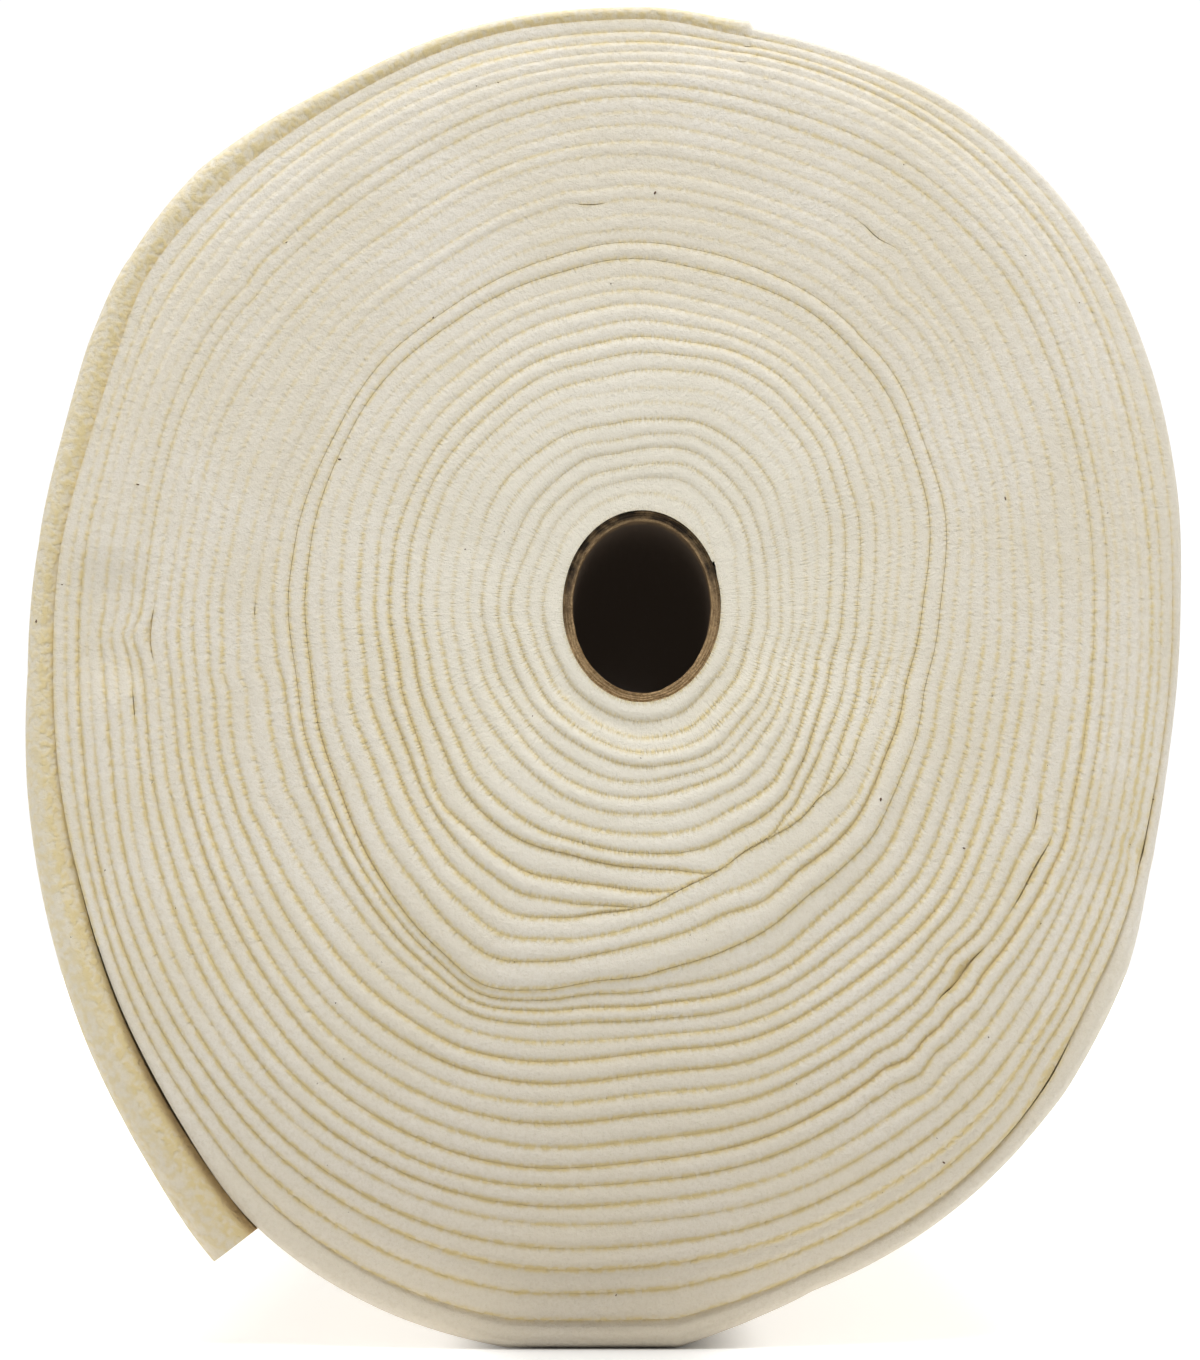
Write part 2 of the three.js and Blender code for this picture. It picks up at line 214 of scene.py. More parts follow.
# Where the turns are pushed outwards, or inwards where it is negative, and none part
PUSHES = table(
    "clock radius reach by turns",
    (266, 186, 3.2, 1.61, 4),
    (261, 148, 2.4, 1.49, 2),
    (258, 152, 1.6, -1.12, 2),
    (242.5, 151, 2.0, 1.18, 2),
    (353.5, 151, 2.6, -1.24, 2),
    (349.5, 151, 2.2, 0.87, 2),
    (39.5, 146, 2.2, -1.36, 4),
    (36.5, 160, 2.6, 1.49, 3),
    (32.5, 162, 1.8, -0.93, 3),
    (119.5, 168, 2.6, 1.49, 3),
    (137.4, 177, 2.8, -1.49, 3),
    (142.6, 179, 1.8, -1.36, 2),
    (146.6, 194, 1.5, -1.18, 2),
    (149.4, 195, 1.4, 1.12, 2),
    (152.6, 195.5, 1.4, -1.24, 2),
    (155.2, 202, 1.3, -0.87, 1),
    (309, 189, 2.2, -0.93, 3),
    (312, 195, 1.8, 0.74, 2),
    (131, 222, 9, -4.0, 4),
    (208, 265, 15, -3.6, 4),
)

# Grooves that are deeper and wider than the others for a stretch, which runs anticlockwise from
# one clock angle to the other. Clock angle and radius name the groove
STRONG_GROOVES = table(
    "clock radius from to deeper wider",
    (0, 70.3, 52, 296, 0.9, 0.04),
    (0, 94, 46, 312, 0.72, 0.03),
    (25, 120.8, 82, 352, 0.4, 0.02),
    (345, 108, 4, 322, 0.48, 0.015),
    (30, 176.5, 92, 340, 0.42, 0.013),
    (30, 190, 46, 5, 0.36, 0.013),
    (315, 167.5, 352, 290, 0.36, 0.01),
    (195, 89.8, 150, 221, 0.54, 0.025),
    (157, 98.4, 140, 172, 0.2, 0.0),
    (218, 95.5, 210, 226, 0.78, 0.04),
    (200, 105.8, 176, 224, 0.48, 0.025),
    (200, 149, 130, 226, 0.72, 0.075),
    (200, 53, 176, 235, 0.54, 0.02),
    (251, 60.5, 225, 285, 0.3, 0.013),
    (268, 182, 250, 284, 0.6, 0.03),
    (270, 208, 250, 292, 0.6, 0.03),
    (230, 132.4, 222, 238, 0.6, 0.03),
    (250, 125.8, 246, 254, 0.48, 0.02),
    (250, 93, 235, 270, 0.42, 0.007),
)

SEED = 4671
START_THINNED = 0.84


def smooth(value, start, end):
    """Rises softly from 0 at start to 1 at end."""
    share = np.clip((value - start) / (end - start), 0, 1)
    return share * share * (3 - 2 * share)


def phase_at(clock):
    """Share of a turn wound on since the start, at a clock angle."""
    return np.mod(START_CLOCK - np.asarray(clock, float), 360) / 360


def clock_at(t):
    return np.mod(START_CLOCK - 360 * np.asarray(t, float), 360)


def winding(turn, clock):
    """The turns wound on at a clock angle of one turn."""
    return turn + float(phase_at(clock))


def wander(t, seed, spacing):
    """Smooth random values from -1 to 1 along the winding, with a new one each spacing."""
    knots = np.random.default_rng(SEED + seed).uniform(-1, 1, int(40 / spacing) + 4)
    place = np.asarray(t, float) / spacing + 1
    first = np.floor(place).astype(int)
    share = place - first
    share = share * share * (3 - 2 * share)
    return knots[first] * (1 - share) + knots[first + 1] * share


def round_the_clock(table, clock):
    """Values of a table at clock angles, on a smooth closed curve through its rows."""
    clocks = np.array(sorted(table), float)
    values = np.array([np.atleast_1d(table[c]) for c in sorted(table)], float)
    at = np.mod(np.asarray(clock, float), 360)
    after = np.searchsorted(clocks, at, side="right")
    rows = len(clocks)
    a, b, c, d = (values[(after + k) % rows] for k in (-2, -1, 0, 1))
    start = clocks[(after - 1) % rows]
    span = np.mod(clocks[after % rows] - start, 360)
    share = (np.mod(at - start, 360) / span)[..., None]
    bend = (2 * a - 5 * b + 4 * c - d) * share
    return b + 0.5 * share * (c - a + bend + share * share * (3 * (b - c) + d - a))


def hole_radius(clock):
    angle = np.radians(clock)
    oval = np.hypot(np.sin(angle) / TUBE_HALF_WIDTH, np.cos(angle) / TUBE_HALF_HEIGHT)
    return 1 / oval + FIT_GAP


def rim_radius(clock):
    """The wound turns' outline, cut off flat at the surface that the roll lies on."""
    at = np.mod(clock, 360)
    dip = np.where(at < ROOT_CLOCK, ROOT_DIP * smooth(at, 0, ROOT_CLOCK), 0)
    radius = round_the_clock(RIM, at)[..., 0] - dip
    down = np.maximum(-np.cos(np.radians(at)), 1e-3)
    return np.minimum(radius, TUBE_Z / down)


ROOT = TURNS + float(phase_at(ROOT_CLOCK))
CUT = TURNS + float(phase_at(CUT_CLOCK))


def turns_at_rim(clock):
    phase = phase_at(clock)
    return TURNS + phase + (phase <= phase_at(ROOT_CLOCK) + 1e-9)


def turn_radius(turns, clock):
    """Radius at which so many turns are wound on, smooth from the tube to the rim."""
    inner = round_the_clock(TURN_RADII, clock)
    radii = np.column_stack([hole_radius(clock), inner, rim_radius(clock)])
    rim = turns_at_rim(clock)
    marks = np.column_stack([np.zeros_like(rim), np.tile(TURN_STATIONS, (len(rim), 1)), rim])
    slope = np.diff(radii, axis=1) / np.diff(marks, axis=1)
    ends = np.column_stack([slope[:, :1], (slope[:, :-1] + slope[:, 1:]) / 2, slope[:, -1:]])
    turns = np.clip(turns, 0, rim)
    k = np.clip((marks <= turns[:, None]).sum(axis=1) - 1, 0, marks.shape[1] - 2)
    row = np.arange(len(k))
    span = marks[row, k + 1] - marks[row, k]
    s = (turns - marks[row, k]) / span
    a, b = radii[row, k], radii[row, k + 1]
    ma, mb = ends[row, k] * span, ends[row, k + 1] * span
    return (
        a * (1 + 2 * s) * (1 - s) ** 2 + ma * s * (1 - s) ** 2
        + b * s * s * (3 - 2 * s) - mb * s * s * (1 - s)
    )  # fmt: skip


def stretch(t, turn, start, end, fade=0.02):
    """1 along a stretch of one turn between two clock angles, and 0 away from it."""
    first = winding(turn, start)
    last = first + np.mod(start - end, 360) / 360
    return smooth(t, first - fade, first + fade) * (1 - smooth(t, last - fade, last + fade))


def sheet_width(t):
    """How wide the turn shows beside the mean one."""
    width = 1 + 0.17 * wander(t, 1, 0.11) + 0.07 * wander(t, 2, 0.037)
    settled = smooth(t, 0, 0.3) * (1 - smooth(t, ROOT - 0.3, ROOT))
    return 1 + (width - 1) * settled


COLUMNS = 720


def boundary_shifts():
    """How far the unequal widths move each boundary between turns, in turns."""
    phase = np.arange(COLUMNS) / COLUMNS
    rows = np.arange(TURNS + 2)[:, None] + phase
    extra = np.vstack([np.zeros(COLUMNS), np.cumsum(sheet_width(rows) - 1, axis=0)[:-1]])
    sheets = np.where(phase <= phase_at(ROOT_CLOCK), TURNS + 1, TURNS)
    total = extra[sheets, np.arange(COLUMNS)]
    whole = sheets + phase
    shift = (rows + extra) * whole / (whole + total) - rows
    shift[rows >= whole - 1e-9] = 0
    return rows.ravel(), shift.ravel()


SHIFT_TURNS, SHIFTS = boundary_shifts()


def turns_inside(t):
    """Turns wound on inside the sheet at t. The first lies on the tube, then climbs its thin start."""
    turn = np.floor(t)
    phase = t - turn
    climb = smooth(phase, 0.965, 1)
    thin_start = np.where(t < 1, START_THINNED * climb, START_THINNED * (1 - smooth(t, 1, 1.09)))
    return turn + phase * (1 - (1 - climb) * np.exp(-turn / 2)) - thin_start


def boundary_turns(t):
    return np.maximum(turns_inside(t) + np.interp(t, SHIFT_TURNS, SHIFTS), 0)


# Clock angles beside the measured ones, the nearest of those, and how much of its shifts is left
BUNDLE_EASE = (
    (94, 105, 0.72), (80, 105, 0.32), (66, 105, 0.08), (45, 105, 0), (20, 105, 0), (350, 105, 0),
    (235, 225, 0.6), (247, 225, 0.2), (262, 225, 0), (290, 225, 0), (320, 225, 0),
)  # fmt: skip


def bundle_shifts():
    """How far the grooves round the tucked turns lie from even winding, at each clock angle."""
    shifts = {}
    for clock, radii in BUNDLE_RADII.items():
        t = np.array(BUNDLE_GROOVES) + float(phase_at(clock))
        shifts[clock] = np.array(radii) - turn_radius(boundary_turns(t), clock_at(t))
    for clock, beside_it, share in BUNDLE_EASE:
        shifts[clock] = share * shifts[beside_it]
    return shifts


BUNDLE_SHIFTS = bundle_shifts()


def measured_radius(t):
    """Radius of the groove at t, with the measured grooves of the bundle, fading out beside them."""
    clock = clock_at(t)
    rows = round_the_clock(BUNDLE_SHIFTS, clock)
    turn = np.floor(t)
    first, last = BUNDLE_GROOVES[0], BUNDLE_GROOVES[-1]
    column = np.clip(turn - first, 0, last - first).astype(int)
    fading = np.clip(np.minimum((turn - first + 5) / 5, (last + 7 - turn) / 7), 0, 1)
    shift = np.take_along_axis(rows, column[:, None], axis=1)[:, 0]
    return turn_radius(boundary_turns(t), clock) + shift * smooth(fading, 0, 1)


def groove_at(clock, radius):
    """The t of the groove nearest to a radius at a clock angle."""
    t = np.arange(TURNS + 1) + float(phase_at(clock))
    return float(t[np.argmin(np.abs(measured_radius(t) - radius))])


def beside(t, groove, clock):
    """How many turns outside a groove t lies, and how many degrees clockwise of a clock angle."""
    degrees = np.mod(clock_at(t) - clock + 180, 360) - 180
    return np.rint(t - groove + degrees / 360), degrees


for feature in (*OPENINGS, *PUSHES, *STRONG_GROOVES):
    feature["groove"] = groove_at(feature["clock"], feature["radius"])


def boundary_radius(t, side=0, opened=1.0):
    """Radius of the groove at t: the wall of the turn inside it with side -1, outside it with side 1."""
    radius = measured_radius(t)
    under_rim = smooth(turns_at_rim(clock_at(t)) - t, 0.2, 0.8)
    for row in PUSHES:
        away, degrees = beside(t, row["groove"], row["clock"])
        share = np.clip(1 - np.abs(away) / (row["turns"] + 1), 0, 1) * under_rim
        radius = radius + row["by"] * share * np.exp(-((degrees / row["reach"]) ** 2))
    for row in OPENINGS:
        away, degrees = beside(t, row["groove"], row["clock"])
        share = np.clip(1 - np.abs(away) / (row["turns"] + 1), 0, 1)
        outside = np.where(away == 0, side, away) > 0
        inside = np.where(away == 0, side, away) < 0
        part = outside * row["outwards"] - inside * (1 - row["outwards"])
        wide = opened * row["width"] * np.exp(-((degrees / row["reach"]) ** 2))
        radius = radius + wide * part * share
    return radius


def strong_groove(t, name):
    """How much deeper or wider the groove at t is than the others."""
    more = np.zeros_like(np.asarray(t, float))
    for row in STRONG_GROOVES:
        middle = row["groove"]
        first = middle - np.mod(row["from"] - row["clock"], 360) / 360
        last = middle + np.mod(row["clock"] - row["to"], 360) / 360
        fade = min(0.03, (last - first) / 3)
        here = smooth(t, first - fade, first + fade) * (1 - smooth(t, last - fade, last + fade))
        more = np.maximum(more, row[name] * here)
    return more


def crowding(t):
    """How many times closer the sections stand, near the openings and pushes."""
    closer = np.ones_like(t)
    for row in (*OPENINGS, *PUSHES):
        away, degrees = beside(t, row["groove"], row["clock"])
        near = (np.abs(away + 0.5) <= row["turns"] + 1) * np.exp(-((degrees / row["reach"] / 2.2) ** 2))
        closer = np.maximum(closer, 1 + 1.6 * near)
    return closer


def relief(turns, groove, clock):
    """How far the end stands out at a place, from the swells and the fall towards the rim."""
    rim = turns_at_rim(clock)
    fall = RIM_FALL + LOWER_RIM_FALL * smooth(np.cos(np.radians(clock - 150)), 0.3, 0.8)
    height = -fall * smooth(turns, rim - RIM_FALL_TURNS, rim) - DOME * (turns / rim) ** 2
    for swell in SWELLS:
        middle = (swell["from"] + swell["to"]) / 2
        reach = (swell["to"] - swell["from"]) / 2
        away = np.abs(np.mod(clock - middle + 180, 360) - 180)
        round_it = 1 - smooth(away, reach - swell["fade"] / 2, reach + swell["fade"] / 2)
        count = groove if swell["edge"] < 1 else turns
        rising = smooth(count, swell["inner"] - swell["edge"], swell["inner"] + swell["edge"])
        falling = 1 - smooth(count, swell["outer"] - swell["edge"], swell["outer"] + swell["edge"])
        height = height + swell["height"] * round_it * rising * falling
    return height


def crest_y(t):
    """How far along Y the crest of the fold lies, the lowest being nearest the viewer."""
    turns = (boundary_turns(t) + boundary_turns(t + 1)) / 2
    uneven = 0.75 * wander(t, 3, 0.23) + 0.3 * wander(t, 4, 0.06) + 0.12 * wander(t, 14, 0.021)
    height = relief(turns, np.floor(t), clock_at(t)) + uneven * (0.4 + 0.6 * lowness(clock_at(t)))
    return HIGHEST - (height - TUCKED_DEPTH * tucked_share(t)) - HALF_LENGTH


TUCKED_DEPTH = 0.5
TUCKED_FADE = 0.012


def tucked_share(t):
    """1 where the turn at t is tucked under the next, and 0 elsewhere."""
    return sum(stretch(t, row["turn"], row["from"], row["to"], TUCKED_FADE) for row in TUCKED)


def lowness(clock):
    """0 over the top of the roll, where the turns are pressed, and 1 underneath, where they are loose."""
    return smooth(np.cos(np.radians(clock - 187)), -0.3, 0.7)


# How far the warm painted shade of the grooves spreads, in millimetres
CREVICE_WIDTH = 1.15
CREST_STEP = 0.9
TUCKED_FILL = 0.75


def groove_depth(t):
    clock = clock_at(t)
    low = lowness(clock)
    uneven = 1 + (0.75 - 0.45 * low) * wander(t, 5, 0.42) + 0.2 * wander(t, 15, 0.07)
    near_tube = 0.5 + 0.5 * smooth(t, 5, 14)
    return (0.17 + 0.8 * low) * near_tube * uneven + 0.5 * strong_groove(t, "deeper")


def groove_floor(t, crest, neighbour, tucked):
    """How far along Y the bottom of the groove at t lies, beside the crests of its two turns."""
    nearest = np.minimum(crest, neighbour)
    floor = np.minimum(np.maximum(crest, neighbour), nearest + CREST_STEP) + groove_depth(t)
    return floor - TUCKED_FILL * np.minimum(tucked, 1) * (floor - nearest)


def half_gap(t):
    """Half the gap between a turn and the next, at the boundary at t."""
    return strong_groove(t, "wider")


def painted_groove_shade(t):
    """How strong the warm painted shade of the groove at t is: the deeper, the stronger, and beyond 1 it
    turns to painted brown shade.
    """
    return np.clip(0.3 + 0.6 * groove_depth(t), 0, 1.5)


def crevice_shade(away, warm):
    """Share of the warm painted shade so many millimetres from a groove."""
    near = 0.85 * np.exp(-((away / CREVICE_WIDTH) ** 2))
    wide = 0.15 * np.exp(-((away / CREVICE_WIDTH / 2.3) ** 2))
    return warm * (near + wide)


FOLD_STEPS = 5
SAG = 0.12
SOFT_FROM = 0.82
SOFT_BOTTOM = 3.6
POCKET_DEPTH = 1.5
LIP = 0.7
WALL_DEPTH = 50.0
PLY_GAP = 0.15


def fold_depth(share):
    """How deep the fold lies across its half width, from 0 at the crest to the groove's soft bottom."""
    away = np.abs(share)
    return away ** 2 - SOFT_BOTTOM * np.maximum(away - SOFT_FROM, 0) ** 2


def place(t, radius, y):
    """Points at radii on the rays of t, as an array of sections, points and X, Y, Z in metres."""
    angle = np.radians(clock_at(t))
    x = TUBE_X + radius * np.sin(angle)
    z = np.maximum(TUBE_Z + radius * np.cos(angle), 0)
    return np.stack([x, np.broadcast_to(y, x.shape), z], axis=-1) * MM


def even_steps(start, end, spacing):
    """Values of t from start to end, evenly spaced along the middle of the sheet."""
    t = np.linspace(start, end, int((end - start) * 1440) + 2)
    middle = (plain_radius(t) + plain_radius(t + 1)) / 2
    angle = np.radians(clock_at(t))
    x, z = middle * np.sin(angle), middle * np.cos(angle)
    lengths = np.hypot(np.diff(x), np.diff(z))
    crowded = np.concatenate([[0], np.cumsum(lengths * crowding(t[:-1]))])
    count = int(crowded[-1] / spacing) + 2
    return np.interp(np.linspace(0, crowded[-1], count), crowded, t), lengths.sum()


def plain_radius(t):
    """Radius of the boundary at t far behind the visible end, where the turns are even."""
    return turn_radius(turns_inside(t), clock_at(t))


def back_y(t, recess):
    """How far along Y the sheet's raw edges lie, at the end that isn't seen."""
    return HALF_LENGTH - recess - 0.7 * wander(t, 6, 0.31)


def wound_sections(t):
    """Closed sections of the folded sheet at t: the fold in front, two plies behind it, two raw edges."""
    inner, outer = boundary_radius(t, 1), boundary_radius(t + 1, -1)
    closed_in, closed_out = boundary_radius(t, 1, 0.0), boundary_radius(t + 1, -1, 0.0)
    inner = inner - LIP * (1 - smooth(t, 1.03, 1.09))
    deep_in, deep_out = plain_radius(t), plain_radius(t + 1)
    gap_in, gap_out = half_gap(t), half_gap(t + 1)
    warm_in, warm_out = painted_groove_shade(t), painted_groove_shade(t + 1)
    crest, over = crest_y(t), crest_y(t + 1)
    under = np.where(t < 1, crest, crest_y(np.maximum(t - 1, 0)))
    tucked = tucked_share(t)
    floor_in = groove_floor(t, crest, under, tucked + tucked_share(t - 1))
    floor_out = groove_floor(t + 1, crest, over, tucked + tucked_share(t + 1))
    middle, half = (inner + outer) / 2, np.maximum(outer - inner, 0.02) / 2
    deep_middle, deep_half = (deep_in + deep_out) / 2, (deep_out - deep_in) / 2
    back = back_y(t, 0.8)
    wall = np.full_like(t, WALL_DEPTH - HALF_LENGTH)
    ply_gap = np.minimum(PLY_GAP, half * 0.3)
    cavity = np.maximum(floor_in, floor_out) + 1.5

    sagged = middle + SAG * lowness(clock_at(t)) * half
    # Each point's third value is its share of painted shade in the crevices: full on the deep walls, warm
    # near the grooves, less at the raw edges at the far end
    points = [(deep_in + 0.05, wall, 1.0), (closed_in + 0.01, floor_in + POCKET_DEPTH, 1.0)]
    for step in range(-FOLD_STEPS, FOLD_STEPS + 1):
        share = math.sin(math.pi / 2 * step / FOLD_STEPS)
        inwards = step < 0
        gap, bottom, end = (gap_in, floor_in, inner) if inwards else (gap_out, floor_out, outer)
        reach = np.abs(end - sagged)
        radius = sagged + share * np.maximum(reach - gap, reach * 0.4)
        depth = fold_depth(share) * (bottom - crest)
        warm = warm_in if inwards else warm_out
        points.append((radius, crest + depth, crevice_shade((1 - abs(share)) * reach, warm)))
    points += [
        (closed_out - 0.01, floor_out + POCKET_DEPTH, 1.0),
        (deep_out - 0.05, wall, 1.0),
        (deep_out - 0.15, back - 0.8, 0.3),
        (deep_middle + deep_half * 0.5, back, 0.0),
        (deep_middle + PLY_GAP, back - 0.6, 0.6),
        (deep_middle + PLY_GAP, wall, 1.0),
        (middle + ply_gap, cavity, 1.0),
        (middle, cavity - 0.5, 1.0),
        (middle - ply_gap, cavity, 1.0),
        (deep_middle - PLY_GAP, wall, 1.0),
        (deep_middle - PLY_GAP, back - 0.6, 0.6),
        (deep_middle - deep_half * 0.5, back, 0.0),
        (deep_in + 0.15, back - 0.8, 0.3),
    ]
    places = [place(t, radius, y) for radius, y, _ in points]
    shade = [np.broadcast_to(share, t.shape) for _, _, share in points]
    return np.stack(places, axis=1), np.stack(shade, axis=1)


SHARP_FOLD = 58
SHARP_BOARD = 55


def quads_between(here, there):
    """The quads between rows of closed sections and their next ones, from the indices of the points."""
    corners = [here, np.roll(here, -1, 1), np.roll(there, -1, 1), there]
    return np.stack(corners, axis=-1).reshape(-1, 4)


def is_inside_out(points, quads):
    a, b, c, d = (points[quads[:, k]] for k in range(4))
    return (np.cross(a, b) * c).sum() + (np.cross(a, c) * d).sum() < 0


def add_layer(mesh, name, values):
    """Gives each point of a mesh a value that its material reads."""
    layer = mesh.attributes.new(name, "FLOAT", "POINT")
    layer.data.foreach_set("value", values.ravel().astype(np.float32))


def strip_mesh(name, sections, shade):
    """A closed mesh through a row of closed sections, with its ends capped."""
    rows, sides, _ = sections.shape
    mesh = bpy.data.meshes.new(name)
    index = np.arange(rows * sides).reshape(rows, sides)
    quads = quads_between(index[:-1], index[1:])
    caps = [index[0][::-1], index[-1]]
    flat = sections.reshape(-1, 3)
    if is_inside_out(flat, quads):
        quads = quads[:, ::-1]
        caps = [cap[::-1] for cap in caps]
    corners = np.concatenate([quads.ravel(), *caps]).astype(np.int32)
    sizes = np.concatenate([np.full(len(quads), 4), np.full(2, sides)])
    mesh.vertices.add(len(flat))
    mesh.vertices.foreach_set("co", flat.ravel().astype(np.float32))
    mesh.loops.add(len(corners))
    mesh.loops.foreach_set("vertex_index", corners)
    mesh.polygons.add(len(sizes))
    starts = np.concatenate([[0], np.cumsum(sizes)[:-1]]).astype(np.int32)
    mesh.polygons.foreach_set("loop_start", starts)
    mesh.update(calc_edges=True)
    mesh.polygons.foreach_set("use_smooth", np.ones(len(sizes), bool))
    # Each point's share of painted shade in the crevices
    add_layer(mesh, "crevice", shade)
    mesh.set_sharp_from_angle(angle=math.radians(SHARP_FOLD))
    if mesh.validate():
        raise RuntimeError(f"{name}: the mesh has faults")
    return mesh


def loose_row(table, t):
    """A value of the loose end at t, straight between the table's clock angles."""
    turned = [float(np.mod(ROOT_CLOCK - clock, 360)) for clock in table]
    return np.interp((t - ROOT) * 360, turned, list(table.values()))


def patchy(across, along, seed, size):
    """Smooth random values from -1 to 1 over a surface, in patches of a size in the same unit."""
    knots = np.random.default_rng(SEED + seed).uniform(-1, 1, (int(2400 / size) + 4,) * 2)
    u, v = across / size + 1, along / size + 1
    i, j = np.floor(u).astype(int), np.floor(v).astype(int)
    fu, fv = smooth(u - i, 0, 1), smooth(v - j, 0, 1)
    near = knots[i, j] * (1 - fv) + knots[i, j + 1] * fv
    far = knots[i + 1, j] * (1 - fv) + knots[i + 1, j + 1] * fv
    return near * (1 - fu) + far * fu


OUTER_START = 33.5
SHEET_THICKNESS = 6.4
OUTER_FOLD_STEPS = 9
OUTER_WALL_STEPS = 50
CUT_SKEW = 1.4
# How wide and how strong the painted shade on the inner side of the loose end grows towards the cut
LOOSE_SHADE = 4.5
LOOSE_WARMTH = 1.5


def outer_sections(t, along):
    """Closed sections of the outermost turn and the loose end, whose plies part at the puffed fold."""
    loose = smooth(t, ROOT - 0.004, ROOT + 0.008)
    is_loose = t > ROOT
    apart = loose_row(LOOSE_GAP, t)
    gap = np.where(is_loose, FIT_GAP + apart, half_gap(t))
    pressed = np.where(is_loose, np.maximum(FIT_GAP - apart, 0), 0)
    inner = boundary_radius(t, 1) + gap
    wound = np.where(is_loose, SHEET_THICKNESS, boundary_radius(t + 1, -1) - inner)
    puff = wound + (loose_row(LOOSE_PUFF, t) - wound) * loose
    thick = wound + (SHEET_THICKNESS - wound) * loose
    crest = crest_y(np.minimum(t, ROOT))
    loose_front = crest_y(t - 1) + 0.4 * wander(t, 7, 0.03)
    crest = crest + (loose_front - crest) * smooth(t, ROOT - 0.02, ROOT + 0.02)
    middle, half = inner + puff / 2, puff / 2
    groove_in = np.where(is_loose, loose_row(LOOSE_GROOVE, t), groove_depth(t))
    lower_right = smooth(np.cos(np.radians(clock_at(t) - 140)), 0.1, 0.8)
    round_out = 1.0 + 1.2 * lower_right * (1 - loose) + 0.3 * loose
    reach = np.maximum(half, 2.2) * round_out
    ply = np.minimum(thick / 2 - PLY_GAP, half * 0.45)
    back = back_y(t, 1.5)

    open_share = smooth(groove_in, LOOSE_GROOVE[10.5], LOOSE_GROOVE[213.2]) * is_loose
    wide_shade = 1 + (LOOSE_SHADE - 1) * open_share
    loose_warmth = 0.6 + (LOOSE_WARMTH - 0.6) * open_share

    points = []
    for step in range(-OUTER_FOLD_STEPS, OUTER_FOLD_STEPS + 1):
        angle = math.pi / 2 * step / OUTER_FOLD_STEPS
        inwards = math.sin(angle) if step < 0 else 0
        # Painted shade: warm and wide on the inner side of the loose end's fold, and over its outer side
        # as well
        shade = crevice_shade(half * (1 + inwards) / wide_shade, loose_warmth) if step < 0 else 0.0
        shade = np.maximum(shade, (0.7 if step < 0 else 0.5) * loose)
        radius = middle + math.sin(angle) * half + pressed * inwards ** 3
        depth = groove_in * fold_depth(math.sin(angle)) if step < 0 else (1 - math.cos(angle)) * reach
        points.append((radius, crest + depth, shade))
    front = crest + reach

    def puffed(y):
        """Thickness at a depth. The plies come together behind the fold."""
        share = smooth((y - front) / (PUFF_DEPTH - reach), 0, 1)
        return puff + (thick - puff) * share

    def lumps(y):
        soft = 0.9 * patchy(along, y + HALF_LENGTH, 8, 110) + 0.45 * patchy(along, y + HALF_LENGTH, 9, 31)
        return soft * smooth(y - front, 0, 30)

    for share in np.linspace(0, 1, OUTER_WALL_STEPS + 1)[1:-1] ** 1.25:
        y = front + (back - 2 - front) * share
        points.append((inner + puffed(y) + lumps(y), y, 0.0))
    points += [
        (inner + thick - 0.2, back - 0.7, 0.2),
        (inner + thick * 0.75, back, 0.0),
        (inner + thick / 2 + PLY_GAP, back - 0.6, 0.6),
    ]
    depths = (PUFF_DEPTH, PUFF_DEPTH * 0.6, PUFF_DEPTH * 0.3, 0)
    for depth in depths:
        y = front + depth
        points.append((inner + puffed(y) - np.minimum(ply, puffed(y) / 2 - 0.1), y, 1.0))
    points.append((middle, crest + ply, 1.0))
    for depth in depths[::-1]:
        y = front + depth
        points.append((inner + np.minimum(ply, puffed(y) / 2 - 0.1), y, 1.0))
    points += [
        (inner + thick / 2 - PLY_GAP, back - 0.6, 0.6),
        (inner + thick * 0.25, back, 0.0),
        (inner + 0.2, back - 0.7, 0.2),
        # Painted deep brown shade on the inner wall behind the loose end
        (inner, front + 60, 1.5),
        (inner, front + 20, 1.5),
    ]
    skew = CUT_SKEW / 360 * smooth(t, CUT - 0.04, CUT)

    def skewed(radius):
        """The t of a point at a radius, as the cut isn't quite square to the sheet."""
        return t + skew * np.clip(1 - (radius - inner) / puff, 0, 1)

    places = [place(skewed(radius), radius, y) for radius, y, _ in points]
    shade = [np.broadcast_to(share, t.shape) for _, _, share in points]
    return np.stack(places, axis=1), np.stack(shade, axis=1)


class Value:
    """A socket in plain arithmetic. Each operation on it adds a Math node."""

    def __init__(self, shader, socket):
        self.shader = shader
        self.socket = socket

    def _math(self, operation, *others):
        return self.shader.node("Math", {"operation": operation}, *others)

    def __add__(self, other):
        return self._math("ADD", self, other)

    __radd__ = __add__

    def __mul__(self, other):
        return self._math("MULTIPLY", self, other)

    __rmul__ = __mul__

    def __pow__(self, other):
        return self._math("POWER", self, other)

    def clamped(self, low, high):
        """0 to 1 as the value goes from low to high."""
        settings = {"clamp": True, "interpolation_type": "SMOOTHSTEP"}
        return self.shader.node("MapRange", settings, Value=self, **{"From Min": low, "From Max": high})


